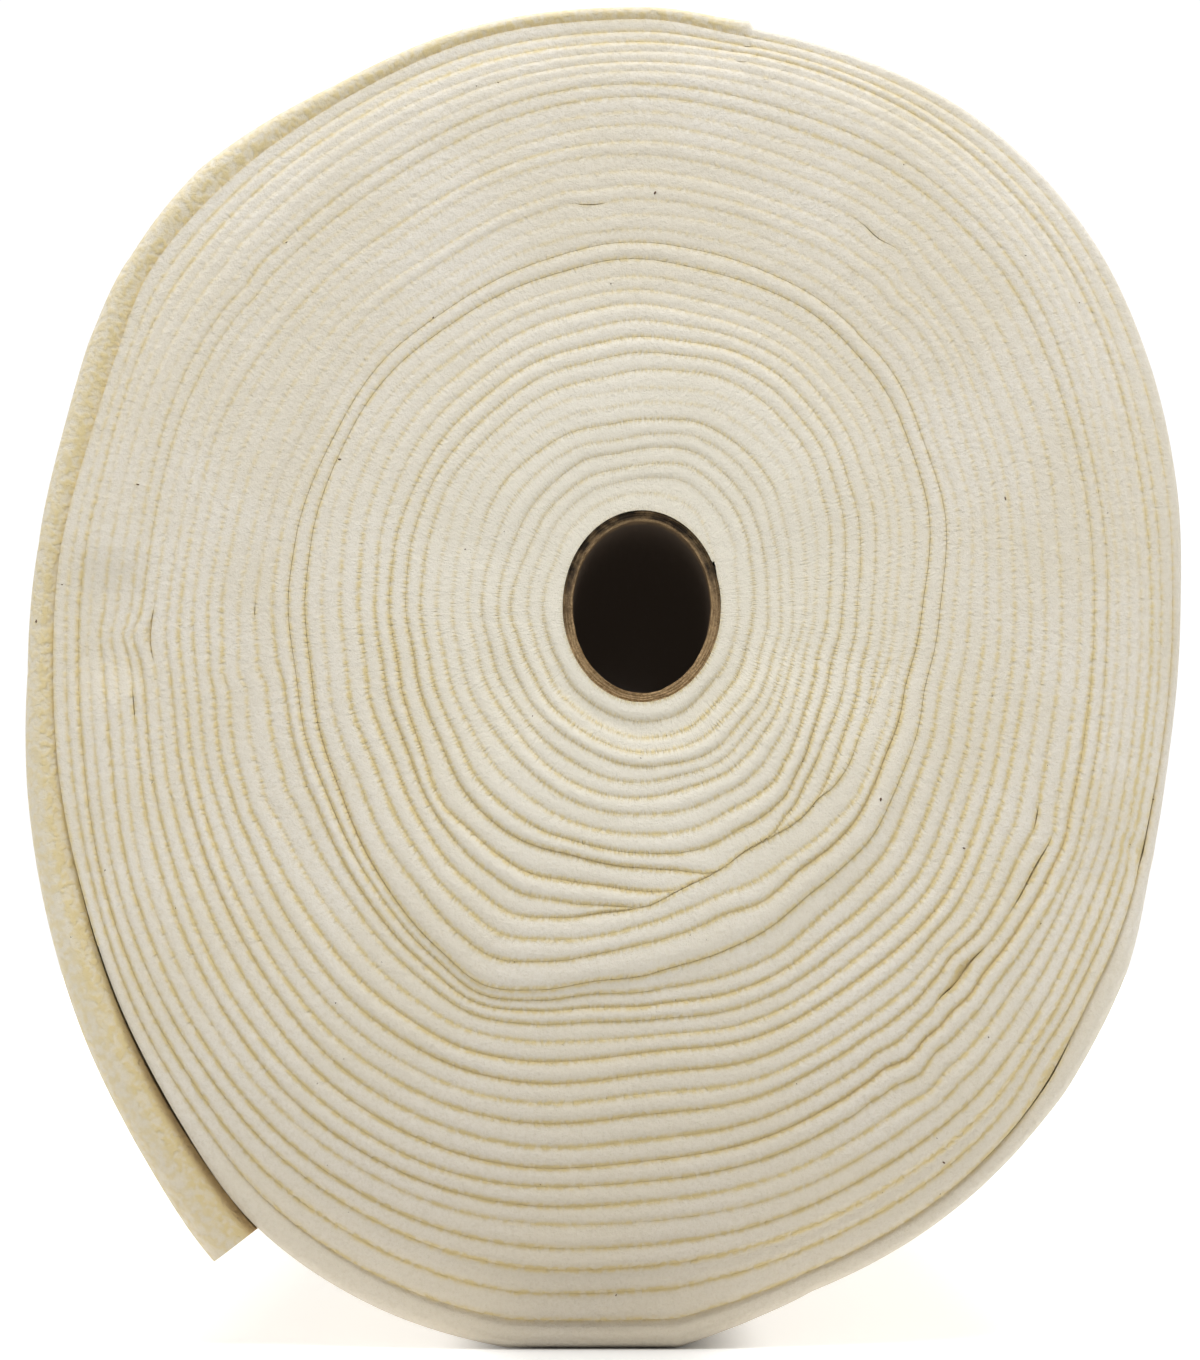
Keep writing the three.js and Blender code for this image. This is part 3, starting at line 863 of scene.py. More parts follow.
class Shader:
    """The nodes of a material or of the world, added one by one to its surface shader."""

    def __init__(self, owner, surface="Principled BSDF"):
        self.owner = owner
        owner.use_nodes = True
        self.nodes = owner.node_tree.nodes
        self.links = owner.node_tree.links
        self.surface = self.nodes[surface]

    def node(self, kind, settings=None, *values, output=0, **named):
        """Adds a node: its settings first, then its sockets' values or links. Gives one output."""
        made = self.nodes.new(f"ShaderNode{kind}")
        for key, setting in (settings or {}).items():
            if key == "stops":
                self._set_stops(made.color_ramp, setting)
            else:
                setattr(made, key, setting)
        for place_of, value in [*enumerate(values), *named.items()]:
            self._feed(made.inputs[place_of], value)
        return Value(self, made.outputs[output])

    def _set_stops(self, ramp, stops):
        while len(ramp.elements) < len(stops):
            ramp.elements.new(0.5)
        for element, (position, colour) in zip(ramp.elements, stops):
            element.position = position
            element.color = (*colour, 1) if len(colour) == 3 else colour

    def _feed(self, socket, value):
        if isinstance(value, Value):
            self.links.new(value.socket, socket)
        else:
            socket.default_value = (*value, 1) if socket.type == "RGBA" and len(value) == 3 else value

    def set(self, name, value):
        self._feed(self.surface.inputs[name], value)

    def mix(self, share, first, second, blend="MIX"):
        """One colour mixed into another."""
        settings = {"data_type": "RGBA", "blend_type": blend}
        made = self.node("Mix", settings, output=2).socket.node
        for place_of, value in ((0, share), (6, first), (7, second)):
            self._feed(made.inputs[place_of], value)
        return Value(self, made.outputs[2])

    def axes(self, vector):
        """The X, Y and Z of a vector."""
        split = self.node("SeparateXYZ", None, vector).socket.node
        return [Value(self, socket) for socket in split.outputs]

    def noise(self, position, scale, detail=2.0, roughness=0.5, distortion=0.0):
        named = {"Vector": position, "Scale": scale, "Detail": detail, "Roughness": roughness}
        return self.node("TexNoise", None, Distortion=distortion, **named)

    def bump(self, height, distance, strength=1.0, normal=None):
        named = {"Height": height, "Distance": distance, "Strength": strength}
        if normal is not None:
            named["Normal"] = normal
        return self.node("Bump", None, **named)


def from_tube(shader, position):
    """X, Y and Z of a position, measured from the tube's axis."""
    axis = (TUBE_X * MM, 0, TUBE_Z * MM)
    return shader.axes(shader.node("VectorMath", {"operation": "SUBTRACT"}, position, axis))


def combed(shader, position):
    """Coordinates that stretch a noise into short hairs pointing away from the tube's axis."""
    x, y, z = from_tube(shader, position)
    angle = shader.node("Math", {"operation": "ARCTAN2"}, x, z)
    radius = (x * x + z * z) ** 0.5
    return shader.node("CombineXYZ", None, angle * HAIR_SPREAD, radius, y)


HAIR_SPREAD = 0.26


def cotton_material(look):
    """Needled natural cotton: a cream felt with soft mottling and neps, painted light near the tube, warm
    painted shade in the crevices, brown in the deepest, and painted shade towards the floor.
    """
    shader = Shader(bpy.data.materials.new("natural_cotton"))
    position = shader.node("TexCoord", output=3)
    crevice = shader.node("Attribute", {"attribute_name": "crevice"}, output=2)
    clouds = shader.noise(position, 22.0, 2.0)
    clumps = shader.noise(position, 190.0, 1.0)
    tufts = shader.noise(combed(shader, position), 330.0, 1.0).clamped(0.32, 0.68)
    fluff = shader.noise(position, 620.0, 3.0, 0.7)
    fine = shader.noise(position, 1900.0, 2.0, 0.65)
    neps = shader.noise(position, 420.0, 1.0).clamped(0.68, 0.78)
    cream = shader.mix(clouds.clamped(0.35, 0.68), look.cotton, look.cotton_pale)
    cream = shader.mix((fluff * 0.6 + fine * 0.4).clamped(0.58, 0.36) * 0.5, cream, look.cotton_shade)
    cream = shader.mix(neps * 0.35, cream, look.cotton_pale)
    # Painted light: the cotton grows paler towards the tube, standing in for light on the innermost turns
    across, _, up = from_tube(shader, position)
    painted_light_near_tube = ((across * across + up * up) ** 0.5).clamped(0.15, 0.035)
    cream = shader.mix(painted_light_near_tube * 0.7, cream, look.cotton_clean)
    # Painted shade: warm in the crevices, brown in the deepest ones
    warm = (crevice * (tufts * 0.7 + fluff * 0.9 + 0.16) * look.crevice_tint).clamped(0.0, 1.0)
    tinted = shader.mix(warm, cream, look.crevice)
    tinted = shader.mix(crevice.clamped(0.85, 1.6), tinted, look.crevice_deep)
    # Painted shade: the cotton darkens towards the floor, below the tube's axis
    low_shade_share = up.clamped(-0.09, -0.32) * (clouds * 0.4 + 0.55)
    shader.set("Base Color", shader.mix(low_shade_share, tinted, look.soil, "MULTIPLY"))
    shader.set("Roughness", 1.0)
    shader.set("Specular IOR Level", 0.1)
    shader.set("Sheen Weight", 0.15)
    shader.set("Sheen Roughness", 0.7)
    soft = shader.bump(clumps + tufts * (crevice * 0.7 + 0.1), 0.0005)
    soft = shader.bump(fluff, 0.0005, 1.0, soft)
    shader.set("Normal", shader.bump(fine, 0.00022, 1.0, soft))
    return shader.owner


def cardboard_material(look):
    """Grey-brown board with its plies showing, darker at the top of its ring from dirt and painted shade,
    with painted shade inside the bore and a painted faint glow far inside.
    """
    shader = Shader(bpy.data.materials.new("tube_board"))
    position = shader.node("TexCoord", output=3)
    ply = shader.node("Attribute", {"attribute_name": "ply"}, output=2)
    depth = shader.node("Attribute", {"attribute_name": "bore_depth"}, output=2)
    dirt = shader.node("Attribute", {"attribute_name": "dirt"}, output=2)
    fibres = shader.noise(position, 900.0, 4.0, 0.65, 0.8)
    mottle = shader.noise(position, 160.0, 3.0)
    lines = shader.node("Math", {"operation": "SINE"}, ply * 26.0)
    board = shader.mix(fibres.clamped(0.3, 0.7), look.board, look.board_pale)
    board = shader.mix(lines.clamped(0.4, 1.0) * 0.2, board, look.board_dark)
    # Dirt and painted shade at the top of the ring
    board = shader.mix((mottle.clamped(0.3, 0.6) * 0.5 + 0.5) * dirt, board, look.board_dark)
    # Painted shade inside the bore, and a painted faint glow far inside it
    shader.set("Base Color", shader.mix(depth, board, look.bore))
    shader.set("Emission Color", shader.mix(depth, (0, 0, 0), look.bore_light))
    shader.set("Emission Strength", 1.0)
    shader.set("Roughness", 0.95)
    shader.set("Specular IOR Level", 0.15)
    shader.set("Normal", shader.bump(fibres + lines * 0.3, 0.0005))
    return shader.owner


def seed_material(look):
    """Dry seed coat, dark brown and faintly glossy."""
    shader = Shader(bpy.data.materials.new("cotton_seed_coat"))
    position = shader.node("TexCoord", output=3)
    grain = shader.noise(position, 3000.0, 2.0)
    shader.set("Base Color", shader.mix(grain, look.seed, look.seed_pale))
    shader.set("Roughness", 0.6)
    shader.set("Normal", shader.bump(grain, 0.0002))
    return shader.owner


def studio_material(look):
    """A plain pale floor, lit from below beside and behind the roll."""
    shader = Shader(bpy.data.materials.new("pale_floor"))
    position = shader.node("TexCoord", output=3)
    mottle = shader.noise(position, 3.0, 2.0)
    across, depth, _ = shader.axes(position)
    end = -HALF_LENGTH * MM
    lit = depth.clamped(end - 0.07, end - 0.01) * (across * across).clamped(0.0003, 0.004)
    pale = shader.mix(mottle * 0.06, look.floor, look.floor_shade)
    front = depth.clamped(end - 0.05, end - 0.1)
    shader.set("Base Color", shader.mix(front, pale, look.floor_front))
    shader.set("Roughness", 0.85)
    shader.set("Emission Color", shader.mix(lit, (0, 0, 0), look.floor))
    shader.set("Emission Strength", look.floor_light)
    return shader.owner


def add_piece(mesh, material):
    """Puts a mesh in the scene as a piece that rides with the roll."""
    piece = bpy.data.objects.new(mesh.name, mesh)
    bpy.context.scene.collection.objects.link(piece)
    mesh.materials.append(material)
    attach(piece, "root")
    return piece


def smooth_mesh(name, points, faces):
    """A mesh shaded smooth, from an array of points and a list or array of faces."""
    mesh = bpy.data.meshes.new(name)
    mesh.from_pydata(points.tolist(), [], faces if isinstance(faces, list) else faces.tolist())
    mesh.validate()
    mesh.polygons.foreach_set("use_smooth", np.ones(len(mesh.polygons), bool))
    mesh.update()
    return mesh


def joined_mesh(name, parts):
    """One mesh from many small ones, each an array of points and a list of faces."""
    points, faces, count = [], [], 0
    for part_points, part_faces in parts:
        points.append(part_points)
        faces += [[int(k) + count for k in face] for face in part_faces]
        count += len(part_points)
    return smooth_mesh(name, np.concatenate(points), faces)


TUBE_COLUMNS = 168
TUBE_FRONT = HIGHEST + TUBE_RECESS - HALF_LENGTH


def tube_sections():
    """Sections round the tube: its outer wall, the ring at each end and the bore."""
    clock = np.arange(TUBE_COLUMNS + 1) * 360 / TUBE_COLUMNS
    turn = clock / 360
    front, back = TUBE_FRONT, -TUBE_FRONT
    across = (0.06, 0.2, 0.36, 0.52, 0.68, 0.84, 0.95)
    depths = (0.9, 5, 16, 40, 90, 220, 480)
    stations = [(0.0, front + d) for d in depths] + [(0.0, back - d) for d in depths[::-1]]
    stations += [(w, back) for w in across]
    stations += [(1.0, back - d) for d in depths] + [(1.0, front + d) for d in depths[::-1]]
    stations += [(w, front) for w in across[::-1]]
    places, plies, bore_shade_rows, dirt_and_top_shade_rows = [], [], [], []
    angle = np.radians(clock)
    for number, (share, y) in enumerate(stations):
        wall = share * TUBE_WALL
        half_width, half_height = TUBE_HALF_WIDTH - wall, TUBE_HALF_HEIGHT - wall
        radius = 1 / np.hypot(np.sin(angle) / half_width, np.cos(angle) / half_height)
        on_ring = abs(y) == abs(front) and 0 < share < 1
        rough = 0.45 * ring_noise(turn, number, 84) + 0.5 * ring_noise(turn, 50 + number // 3, 21)
        nick = np.exp(-(((clock - 179) / 2.6) ** 2)) * smooth(-y, 0, 1)
        depth = y + np.sign(-y) * (rough * 0.7 + 1.6 * nick) * (1 if on_ring else 0.35)
        radius = radius + 0.16 * ring_noise(turn, 100 + number, 60) * (1 if abs(y) > 540 else 0)
        points = np.stack([TUBE_X + radius * np.sin(angle), depth, TUBE_Z + radius * np.cos(angle)], -1)
        places.append(points * MM)
        # Painted shade: the bore's wall darkens from 1 to 14 mm inside each end
        inside = smooth(abs(front) - abs(y), 1, 14) if share == 1 else 0.0
        plies.append(np.full_like(clock, share))
        bore_shade_rows.append(np.full_like(clock, inside))
        # Dirt and painted shade: the ring darkens towards its top, less at its inner edge
        top = smooth(np.cos(angle - math.radians(355)), -0.5, 0.6)
        inner_line = 1 - 0.75 * math.exp(-(((share - 0.9) / 0.16) ** 2))
        uneven = 1 + 0.25 * ring_noise(turn, 200 + number // 2, 34)
        dirt_and_top_shade_rows.append((0.12 + 0.88 * top) * inner_line * uneven)
    layers = {"ply": plies, "bore_depth": bore_shade_rows, "dirt": dirt_and_top_shade_rows}
    return np.stack(places, 1), {name: np.stack(rows, 1) for name, rows in layers.items()}


def ring_noise(turn, seed, count):
    """Smooth random values from -1 to 1 round a closed ring, with so many knots."""
    knots = np.random.default_rng(SEED + 900 + seed).uniform(-1, 1, count)
    at = turn * count
    first = np.floor(at).astype(int)
    share = smooth(at - first, 0, 1)
    return knots[first % count] * (1 - share) + knots[(first + 1) % count] * share


def tube_mesh():
    sections, layers = tube_sections()
    sections = sections[:-1]
    columns, sides, _ = sections.shape
    index = np.arange(columns * sides).reshape(columns, sides)
    quads = quads_between(index, np.roll(index, -1, 0))
    flat = sections.reshape(-1, 3)
    if is_inside_out(flat, quads):
        quads = quads[:, ::-1]
    mesh = smooth_mesh("cardboard_tube", flat, quads)
    mesh.set_sharp_from_angle(angle=math.radians(SHARP_BOARD))
    for name, rows in layers.items():
        add_layer(mesh, name, rows[:-1])
    return mesh


class EndSurface:
    """The visible end as built, to set small things on."""

    def __init__(self):
        depsgraph = bpy.context.evaluated_depsgraph_get()
        names = [*TURN_PIECES, OUTER_PIECE]
        self.trees = [BVHTree.FromObject(bpy.data.objects[name], depsgraph) for name in names]

    def under(self, x, z):
        """The nearest point and normal of the end at X and Z in metres, or None beside it."""
        start = Vector((x, -0.7, z))
        hits = [tree.ray_cast(start, Vector((0, 1, 0)), 0.2) for tree in self.trees]
        hits = [hit for hit in hits if hit[0] is not None]
        return min(hits, key=lambda hit: hit[3])[:2] if hits else None


# Seed flecks that stand out and pulled tufts, by their place across the roll and above the floor
FLECKS = (
    (18.9, 425.5), (147.6, 311.9), (101.0, 200.9), (131.7, 183.2), (-171.7, 317.1),
    (-209.4, 267.1), (-97.3, 326.3), (124.3, 68.5),
)  # fmt: skip
TUFTS = ((7.8, 136.5), (-66, 140), (92, 396), (-120, 92))


FLECK_SIZE = 0.75
CLEAR_OF_TUBE = 42
SCATTER_X = 205
SCATTER_Z = (15, 485)
WISP_THICKNESS = 0.045


def anywhere(rng, count, least, most):
    """Random places across the end, each with a size."""
    return [
        (rng.uniform(-SCATTER_X, SCATTER_X), rng.uniform(*SCATTER_Z), rng.uniform(least, most))
        for _ in range(count)
    ]


def set_on_end(places, make):
    """What make gives for each place that lies on the end, clear of the tube."""
    end = EndSurface()
    parts = []
    for x, z, size in places:
        hit = end.under(x * MM, z * MM)
        if hit is not None and math.hypot(x - TUBE_X, z - TUBE_Z) >= CLEAR_OF_TUBE:
            parts.append(make(*hit, size * MM))
    return parts


def fleck(rng, size):
    """An irregular flattened grain."""
    steps = 5
    points = [(0, 0, -1)]
    for level in (-0.45, 0.45):
        for k in range(steps):
            angle = 2 * math.pi * (k + level) / steps
            points.append((math.cos(angle), math.sin(angle), level))
    points.append((0, 0, 1))
    low = list(range(1, steps + 1))
    high = list(range(steps + 1, 2 * steps + 1))
    faces = []
    for k in range(steps):
        n = (k + 1) % steps
        faces += [(0, low[n], low[k]), (low[k], low[n], high[n]), (low[k], high[n], high[k])]
        faces.append((high[k], high[n], 2 * steps + 1))
    points = np.array(points) * rng.uniform(0.75, 1.25, (len(points), 1))
    return points * size * (1, rng.uniform(0.35, 0.7), 0.3), faces


def fibre(rng, start, out, length, thickness):
    """A fine curling fibre, three-sided, as points and faces."""
    steps = 6
    way = np.array(out) + rng.normal(0, 0.5, 3)
    path = [np.array(start)]
    for _ in range(steps):
        way = way + rng.normal(0, 0.45, 3)
        way = way / np.linalg.norm(way)
        path.append(path[-1] + way * length / steps)
    path = np.array(path)
    along = np.gradient(path, axis=0)
    along /= np.linalg.norm(along, axis=1)[:, None]
    side = np.cross(along, (0.3, 0.2, 0.93))
    side /= np.linalg.norm(side, axis=1)[:, None]
    up = np.cross(along, side)
    taper = np.linspace(1, 0.35, steps + 1)[:, None] * thickness
    rings = [path + taper * (side * math.cos(a) + up * math.sin(a)) for a in (0, 2.094, 4.189)]
    points = np.stack(rings, 1).reshape(-1, 3)
    faces = [(0, 2, 1), (3 * steps, 3 * steps + 1, 3 * steps + 2)]
    for row in range(steps):
        for k in range(3):
            a, b = 3 * row + k, 3 * row + (k + 1) % 3
            faces.append((a, b, b + 3, a + 3))
    return points, faces


def fuzz_mesh(name, rng, count, low_end, high_end):
    """Short fibres that lie over the grooves, crossing them, between two heights of the end."""
    grid = np.linspace(0.4, ROOT - 0.6, 6000)
    along = np.cumsum(plain_radius(grid))
    t = np.interp(rng.uniform(0, along[-1], count), along, grid)
    inner, outer = boundary_radius(t), boundary_radius(t + 1)
    side = np.where(rng.random(count) < 0.5, -1.0, 1.0)
    share = side * rng.uniform(0.3, 0.95, count)
    neighbour = crest_y(np.where(side > 0, t + 1, np.maximum(t - 1, 0)))
    crest = crest_y(t)
    bottom = np.maximum(crest, neighbour) + groove_depth(np.where(side > 0, t + 1, t))
    y = crest + fold_depth(share) * (bottom - crest)
    start = place(t, (inner + outer) / 2 + share * (outer - inner) / 2, y)
    height = start[:, 2] / MM
    kept = (height > low_end) & (height <= high_end) & (outer - inner > 2)
    start, side, angle = start[kept], side[kept], np.radians(clock_at(t[kept]))
    count = len(start)
    radial = np.stack([np.sin(angle), np.zeros(count), np.cos(angle)], -1) * side[:, None]
    along_turn = np.stack([np.cos(angle), np.zeros(count), -np.sin(angle)], -1)
    way = radial + along_turn * rng.normal(0, 0.9, (count, 1))
    way = way + np.array((0, -1, 0)) * rng.uniform(0.05, 0.5, (count, 1))
    length = rng.uniform(0.8, 2.2, (count, 1)) * MM / FUZZ_STEPS
    path = [start]
    for _ in range(FUZZ_STEPS):
        way = way + rng.normal(0, 0.28, (count, 3)) + np.array((0, 0.22, 0))
        way /= np.linalg.norm(way, axis=1, keepdims=True)
        path.append(path[-1] + way * length)
    thick = rng.uniform(0.016, 0.03, (count, 1)) * MM
    across = np.cross(way, (0.31, 0.9, 0.3))
    across /= np.linalg.norm(across, axis=1, keepdims=True)
    up = np.cross(way, across)
    rings = []
    for step, point in enumerate(path):
        taper = thick * (1 - 0.6 * step / FUZZ_STEPS)
        for corner in range(3):
            turn = 2 * math.pi * corner / 3
            rings.append(point + taper * (across * math.cos(turn) + up * math.sin(turn)))
    points = np.stack(rings, 1)
    size = points.shape[1]
    faces = [(2, 1, 0), (size - 3, size - 2, size - 1)]
    for row in range(0, size - 3, 3):
        for k in range(3):
            n = (k + 1) % 3
            faces += [(row + k, row + n, row + n + 3), (row + k, row + n + 3, row + k + 3)]
    faces = (np.array(faces)[None] + np.arange(count)[:, None, None] * size).reshape(-1, 3)
    return smooth_mesh(name, points.reshape(-1, 3), faces)


FUZZ_STEPS = 2
FUZZ_PIECES = {"fuzz_below": (0, 190), "fuzz_above": (190, 500)}
TURN_PIECES = {
    "inner_turns": (0.0, 13.5, 2.0),
    "bundle_turns": (13.5, 20.5, 2.3),
    "middle_turns": (20.5, 27.5, 2.7),
    "outer_turns": (27.5, OUTER_START, 3.2),
}
OUTER_PIECE = "outermost_turn"
OUTER_SPACING = 3.2


def colour(name, description, *default):
    return FloatVectorProperty(name=name, description=description, subtype="COLOR", default=default)


class BattingLook(bpy.types.PropertyGroup):
    cotton: colour("Cotton", "Main cream of the felt", 0.81, 0.75, 0.625)
    cotton_pale: colour("Pale cotton", "Bleached patches and neps", 0.85, 0.8, 0.7)
    cotton_shade: colour("Cotton in the felt", "Between the fibres", 0.73, 0.658, 0.515)
    # Painted light: paler cotton on the innermost turns
    cotton_clean: colour("Clean cotton", "Innermost turns", 0.9, 0.85, 0.715)
    # Painted shade: the cotton's darker tint towards the floor
    soil: colour("Soil", "Tint of the cotton towards the floor", 0.54, 0.495, 0.435)
    # Painted shade in the crevices: a warm colour between turns, a brown one in the deepest, and how much
    # of it shows
    crevice: colour("Crevices", "Warm colour deep between turns", 0.765, 0.635, 0.34)
    crevice_deep: colour("Deep crevices", "Brown of the deepest ones", 0.62, 0.43, 0.19)
    crevice_tint: FloatProperty(
        name="Crevice tint", description="How much of it shows", subtype="FACTOR",
        default=0.95, min=0, max=1,
    )
    board: colour("Board", "Grey-brown board", 0.31, 0.2, 0.1)
    board_pale: colour("Pale board", "Torn fibres", 0.62, 0.43, 0.23)
    # The dirty board colour also serves the dirt and painted shade at the top of the ring
    board_dark: colour("Dirty board", "Glue lines and dirt", 0.055, 0.04, 0.028)
    # Painted shade inside the tube, and a painted faint glow far inside it
    bore: colour("Bore", "Inside of the tube", 0.13, 0.10, 0.075)
    bore_light: colour("Light in the bore", "Faint light far inside", 0.0085, 0.0063, 0.0047)
    seed: colour("Seed coat", "Dark flecks", 0.07, 0.035, 0.015)
    seed_pale: colour("Pale seed coat", "Paler flecks", 0.2, 0.11, 0.05)
    floor: colour("Floor", "Plain pale floor", 0.9, 0.9, 0.9)
    floor_shade: colour("Floor shade", "Faint mottling", 0.86, 0.86, 0.86)
    floor_front: colour("Floor in front", "Dimmer floor near the camera", 0.45, 0.45, 0.45)
    floor_light: FloatProperty(
        name="Floor light", description="Light that comes through the floor", default=0.6
    )


class StudioSetup(bpy.types.PropertyGroup):
    camera_distance: FloatProperty(
        name="Camera distance", description="In front of the visible end", default=1.5, unit="LENGTH"
    )
    camera_height: FloatProperty(
        name="Camera height", description="Above the floor", default=0.142, unit="LENGTH"
    )
    view_height: FloatProperty(
        name="View height", description="Height of the view at the end", default=0.4985, unit="LENGTH"
    )
    key_strength: FloatProperty(
        name="Key light", description="Soft box above the front, in watts", default=56.0, unit="POWER"
    )
    overhead_strength: FloatProperty(
        name="Overhead light", description="Strength of the soft overhead light", default=2.2
    )
    room: FloatProperty(name="Room light", description="Brightness of the plain surroundings", default=1.0)


class SmallThings(bpy.types.PropertyGroup):
    flecks: IntProperty(name="Seed flecks", description="Besides the placed ones", default=70, min=0)
    wisps: IntProperty(name="Wisps", description="Loose fibres on the visible end", default=160, min=0)
    fuzz: IntProperty(name="Fuzz", description="Fibres tried for each half", default=10000, min=0)


def settings():
    scene = bpy.context.scene
    return scene.batting_look, scene.batting_studio, scene.batting_small


def cotton():
    return bpy.data.materials.get("natural_cotton") or cotton_material(settings()[0])


class WindTurns(bpy.types.Operator):
    """Wind the folded batting on the tube, turn by turn"""

    bl_idname = "batting.wind_turns"
    bl_label = "Wind the turns"

    def execute(self, context):
        for name, (start, end, spacing) in TURN_PIECES.items():
            t, length = even_steps(start, end, spacing)
            sections, shade = wound_sections(t)
            piece = add_piece(strip_mesh(name, sections, shade), cotton())
            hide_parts("batting_roll")
        return {"FINISHED"}


class WrapOutermostTurn(bpy.types.Operator):
    """Wrap the outermost turn, which runs on into the loose end"""

    bl_idname = "batting.wrap_outermost_turn"
    bl_label = "Wrap the outermost turn"

    def execute(self, context):
        t, length = even_steps(OUTER_START, CUT, OUTER_SPACING)
        along = np.linspace(0, length, len(t))
        sections, shade = outer_sections(t, along)
        piece = add_piece(strip_mesh(OUTER_PIECE, sections, shade), cotton())
        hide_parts("batting_roll", "loose_end")
        return {"FINISHED"}


class RollTube(bpy.types.Operator):
    """Make the oval cardboard tube with its worn ends"""

    bl_idname = "batting.roll_tube"
    bl_label = "Roll the tube"

    def execute(self, context):
        look, _, _ = settings()
        piece = add_piece(tube_mesh(), cardboard_material(look))
        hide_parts("core_tube")
        return {"FINISHED"}


class SprinkleFlecks(bpy.types.Operator):
    """Set flecks of seed coat in the felt"""

    bl_idname = "batting.sprinkle_flecks"
    bl_label = "Sprinkle seed flecks"

    def execute(self, context):
        look, _, small = settings()
        rng = np.random.default_rng(SEED + 11)
        places = [(x, z, FLECK_SIZE) for x, z in FLECKS] + anywhere(rng, small.flecks, 0.22, 0.45)

        def lying(point, normal, size):
            points, faces = fleck(rng, size)
            turn = Vector((0, 0, 1)).rotation_difference(normal).to_matrix()
            spin = Matrix.Rotation(rng.uniform(0, 2 * math.pi), 3, "Z")
            return points @ np.array(turn @ spin).T + np.array(point), faces

        mesh = joined_mesh("seed_flecks", set_on_end(places, lying))
        add_piece(mesh, seed_material(look))
        return {"FINISHED"}


class PullWisps(bpy.types.Operator):
    """Pull loose fibres and small tufts out of the felt"""

    bl_idname = "batting.pull_wisps"
    bl_label = "Pull wisps"

    def execute(self, context):
        _, _, small = settings()
        rng = np.random.default_rng(SEED + 12)
        places = []
        for x, z in TUFTS:
            places += [(x + dx, z + dz, 1.4) for dx, dz in rng.normal(0, 0.5, (22, 2))]
        places += anywhere(rng, small.wisps, 2, 6)

        def standing(point, normal, length):
            out = np.array(normal) * 0.8
            return fibre(rng, np.array(point) - out * 0.0002, out, length, WISP_THICKNESS * MM)

        mesh = joined_mesh("cotton_wisps", set_on_end(places, standing))
        add_piece(mesh, cotton())
        return {"FINISHED"}


class RaiseFuzz(bpy.types.Operator):
    """Raise short fibres over the grooves between the turns"""

    bl_idname = "batting.raise_fuzz"
    bl_label = "Raise fuzz"

    def execute(self, context):
        _, _, small = settings()
        rng = np.random.default_rng(SEED + 13)
        for name, (low_end, high_end) in FUZZ_PIECES.items():
            mesh = fuzz_mesh(name, rng, small.fuzz, low_end, high_end)
            add_piece(mesh, cotton())
        return {"FINISHED"}


class SetStudio(bpy.types.Operator):
    """Set the floor, the lights and the camera"""

    bl_idname = "batting.set_studio"
    bl_label = "Set the studio"

    def execute(self, context):
        look, studio, _ = settings()
        floor = bpy.data.objects.new("floor", floor_mesh())
        context.scene.collection.objects.link(floor)
        floor.data.materials.append(studio_material(look))
        context.scene.world = room_light(studio)
        context.scene.view_settings.view_transform = "Standard"
        key = bpy.data.lights.new("key_light", "AREA")
        key.energy = studio.key_strength
        key.size = KEY_SIZE
        overhead = bpy.data.lights.new("overhead_light", "SUN")
        overhead.energy = studio.overhead_strength
        overhead.angle = math.radians(SUN_SIZE)
        down = (math.radians(90 - OVERHEAD_HEIGHT), 0, math.radians(OVERHEAD_TURN))
        for light, turned in ((key, aim(KEY_PLACE, KEY_TARGET)), (overhead, down)):
            lamp = bpy.data.objects.new(light.name, light)
            context.scene.collection.objects.link(lamp)
            lamp.location = KEY_PLACE
            lamp.rotation_euler = turned
        front = -HALF_LENGTH * MM + HIGHEST * MM
        target = (VIEW_X, front, VIEW_Z)
        stand = (VIEW_X, front - studio.camera_distance, studio.camera_height)
        camera = bpy.data.cameras.new("camera")
        away = math.dist(target, stand)
        camera.lens = camera.sensor_width / 2 / (studio.view_height / 2 / away)
        camera.clip_end = 90
        eye = bpy.data.objects.new("camera", camera)
        context.scene.collection.objects.link(eye)
        eye.location = stand
        eye.rotation_euler = aim(stand, target)
        context.scene.camera = eye
        return {"FINISHED"}


VIEW_X = -0.0015
VIEW_Z = 0.2448
KEY_PLACE = (0.1, -2.0, 2.7)
KEY_TARGET = (0, -0.57, 0.3)
KEY_SIZE = 1.4
OVERHEAD_TURN = 185.0
OVERHEAD_HEIGHT = 80.0
SUN_SIZE = 45.0
FLOOR_RADIUS = 40.0

# Brightness of the plain surroundings, by the height of the direction above the horizon
ROOM_STOPS = ((0.0, 1.04), (0.24, 1.04), (0.42, 0.4), (1.0, 0.28))
ROOM_SIDES = 0.6


def aim(place_from, place_to):
    return (Vector(place_to) - Vector(place_from)).to_track_quat("-Z", "Y").to_euler()


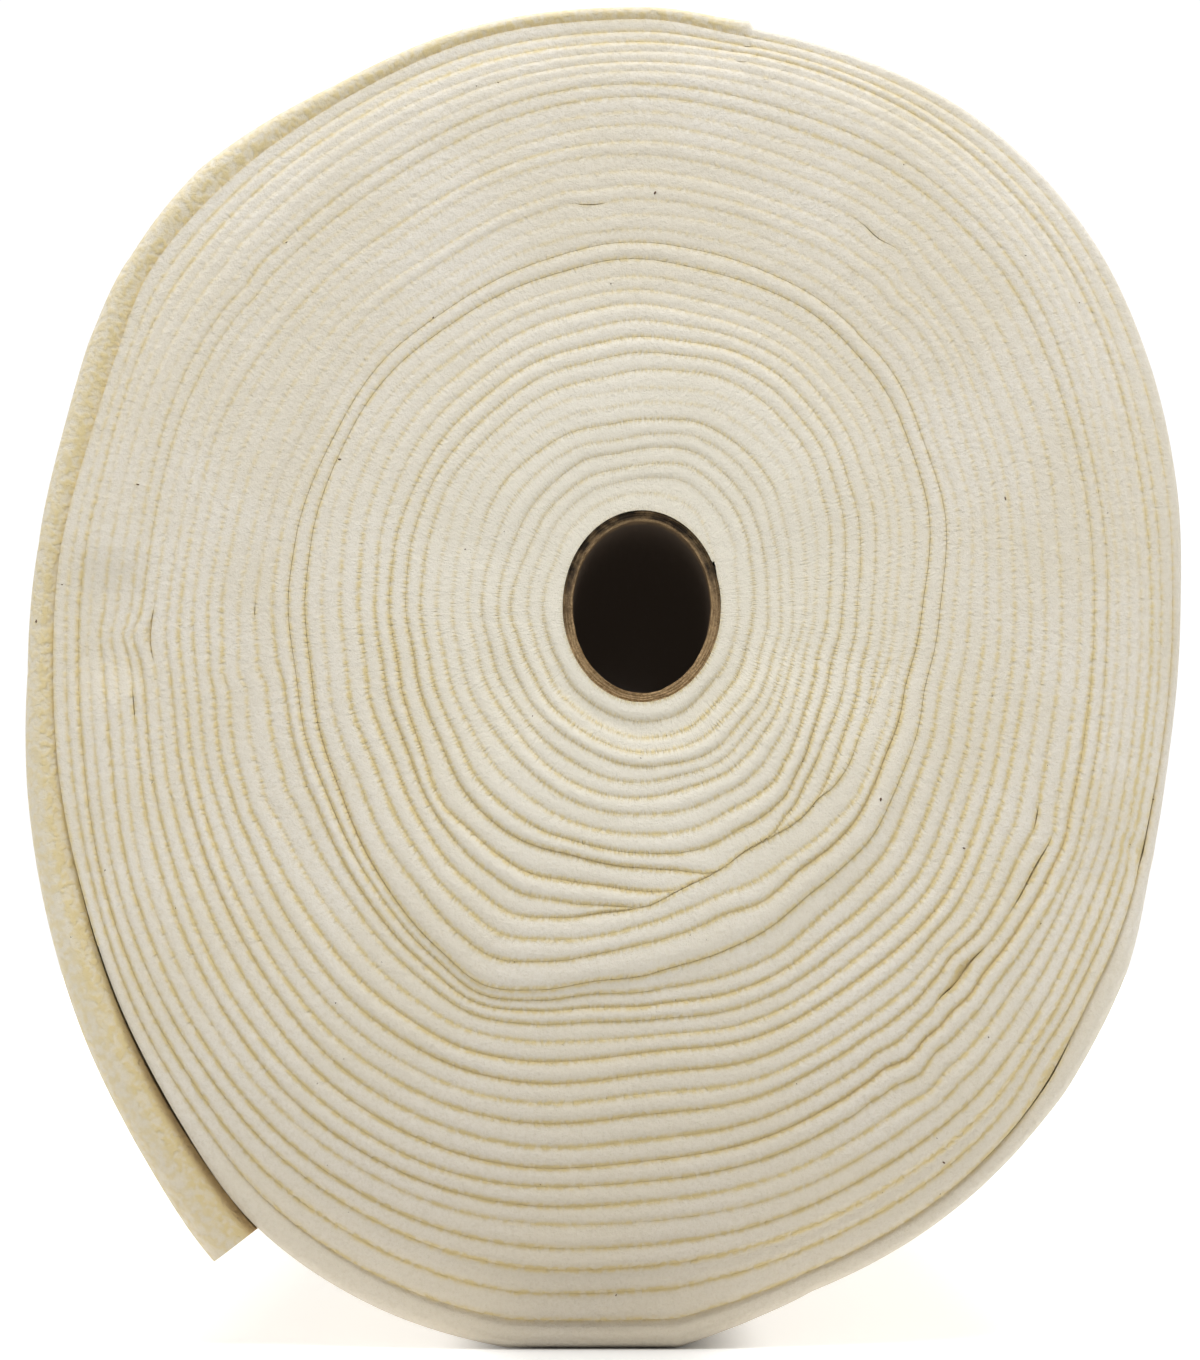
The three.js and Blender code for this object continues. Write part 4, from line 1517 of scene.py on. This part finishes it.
def room_light(studio):
    """Plain surroundings, bright at the height of the roll and dimmer overhead."""
    world = bpy.context.scene.world or bpy.data.worlds.new("room")
    shader = Shader(world, "Background")
    _, depth, height = shader.axes(shader.node("TexCoord"))
    behind = depth.clamped(0.3, 0.85)
    stops = [(at, (grey, grey, grey)) for at, grey in ROOM_STOPS]
    backdrop = shader.node("ValToRGB", {"stops": stops}, height)
    shader.set("Color", shader.mix(behind * (1 - ROOM_SIDES) + ROOM_SIDES, (0, 0, 0), backdrop))
    shader.set("Strength", studio.room)
    return world


def floor_mesh():
    """A plain round floor."""
    steps = 96
    radii = (0.5, 1.5, 5.0, 15.0, FLOOR_RADIUS)
    points = [(0, 0, 0)]
    for radius in radii:
        for k in range(steps):
            angle = 2 * math.pi * k / steps
            points.append((radius * math.cos(angle), radius * math.sin(angle), 0))
    faces = [(0, 1 + k, 1 + (k + 1) % steps) for k in range(steps)]
    for row in range(len(radii) - 1):
        low, high = 1 + row * steps, 1 + (row + 1) * steps
        for k in range(steps):
            n = (k + 1) % steps
            faces.append((low + k, high + k, high + n, low + n))
    mesh = bpy.data.meshes.new("floor")
    mesh.from_pydata(points, [], faces)
    mesh.update()
    return mesh


STEPS = (SetStudio, WindTurns, WrapOutermostTurn, RollTube, SprinkleFlecks, PullWisps, RaiseFuzz)


class BattingPanel(bpy.types.Panel):
    """Lists the steps that make the roll"""

    bl_idname = "VIEW3D_PT_batting"
    bl_label = "Quilt batting roll"
    bl_space_type = "VIEW_3D"
    bl_region_type = "UI"
    bl_category = "Batting"

    def draw(self, context):
        for group in settings():
            box = self.layout.box()
            for name in group.__annotations__:
                box.prop(group, name)
        for step in STEPS:
            self.layout.operator(step.bl_idname)


GROUPS = {"batting_look": BattingLook, "batting_studio": StudioSetup, "batting_small": SmallThings}


def register():
    for kind in (*GROUPS.values(), *STEPS, BattingPanel):
        bpy.utils.register_class(kind)
    for name, kind in GROUPS.items():
        setattr(bpy.types.Scene, name, PointerProperty(type=kind))


def unregister():
    for name in GROUPS:
        delattr(bpy.types.Scene, name)
    for kind in (BattingPanel, *reversed(STEPS), *GROUPS.values()):
        bpy.utils.unregister_class(kind)


def main():
    register()
    for step in STEPS:
        group, name = step.bl_idname.split(".")
        getattr(getattr(bpy.ops, group), name)()


if __name__ == "__main__":
    main()
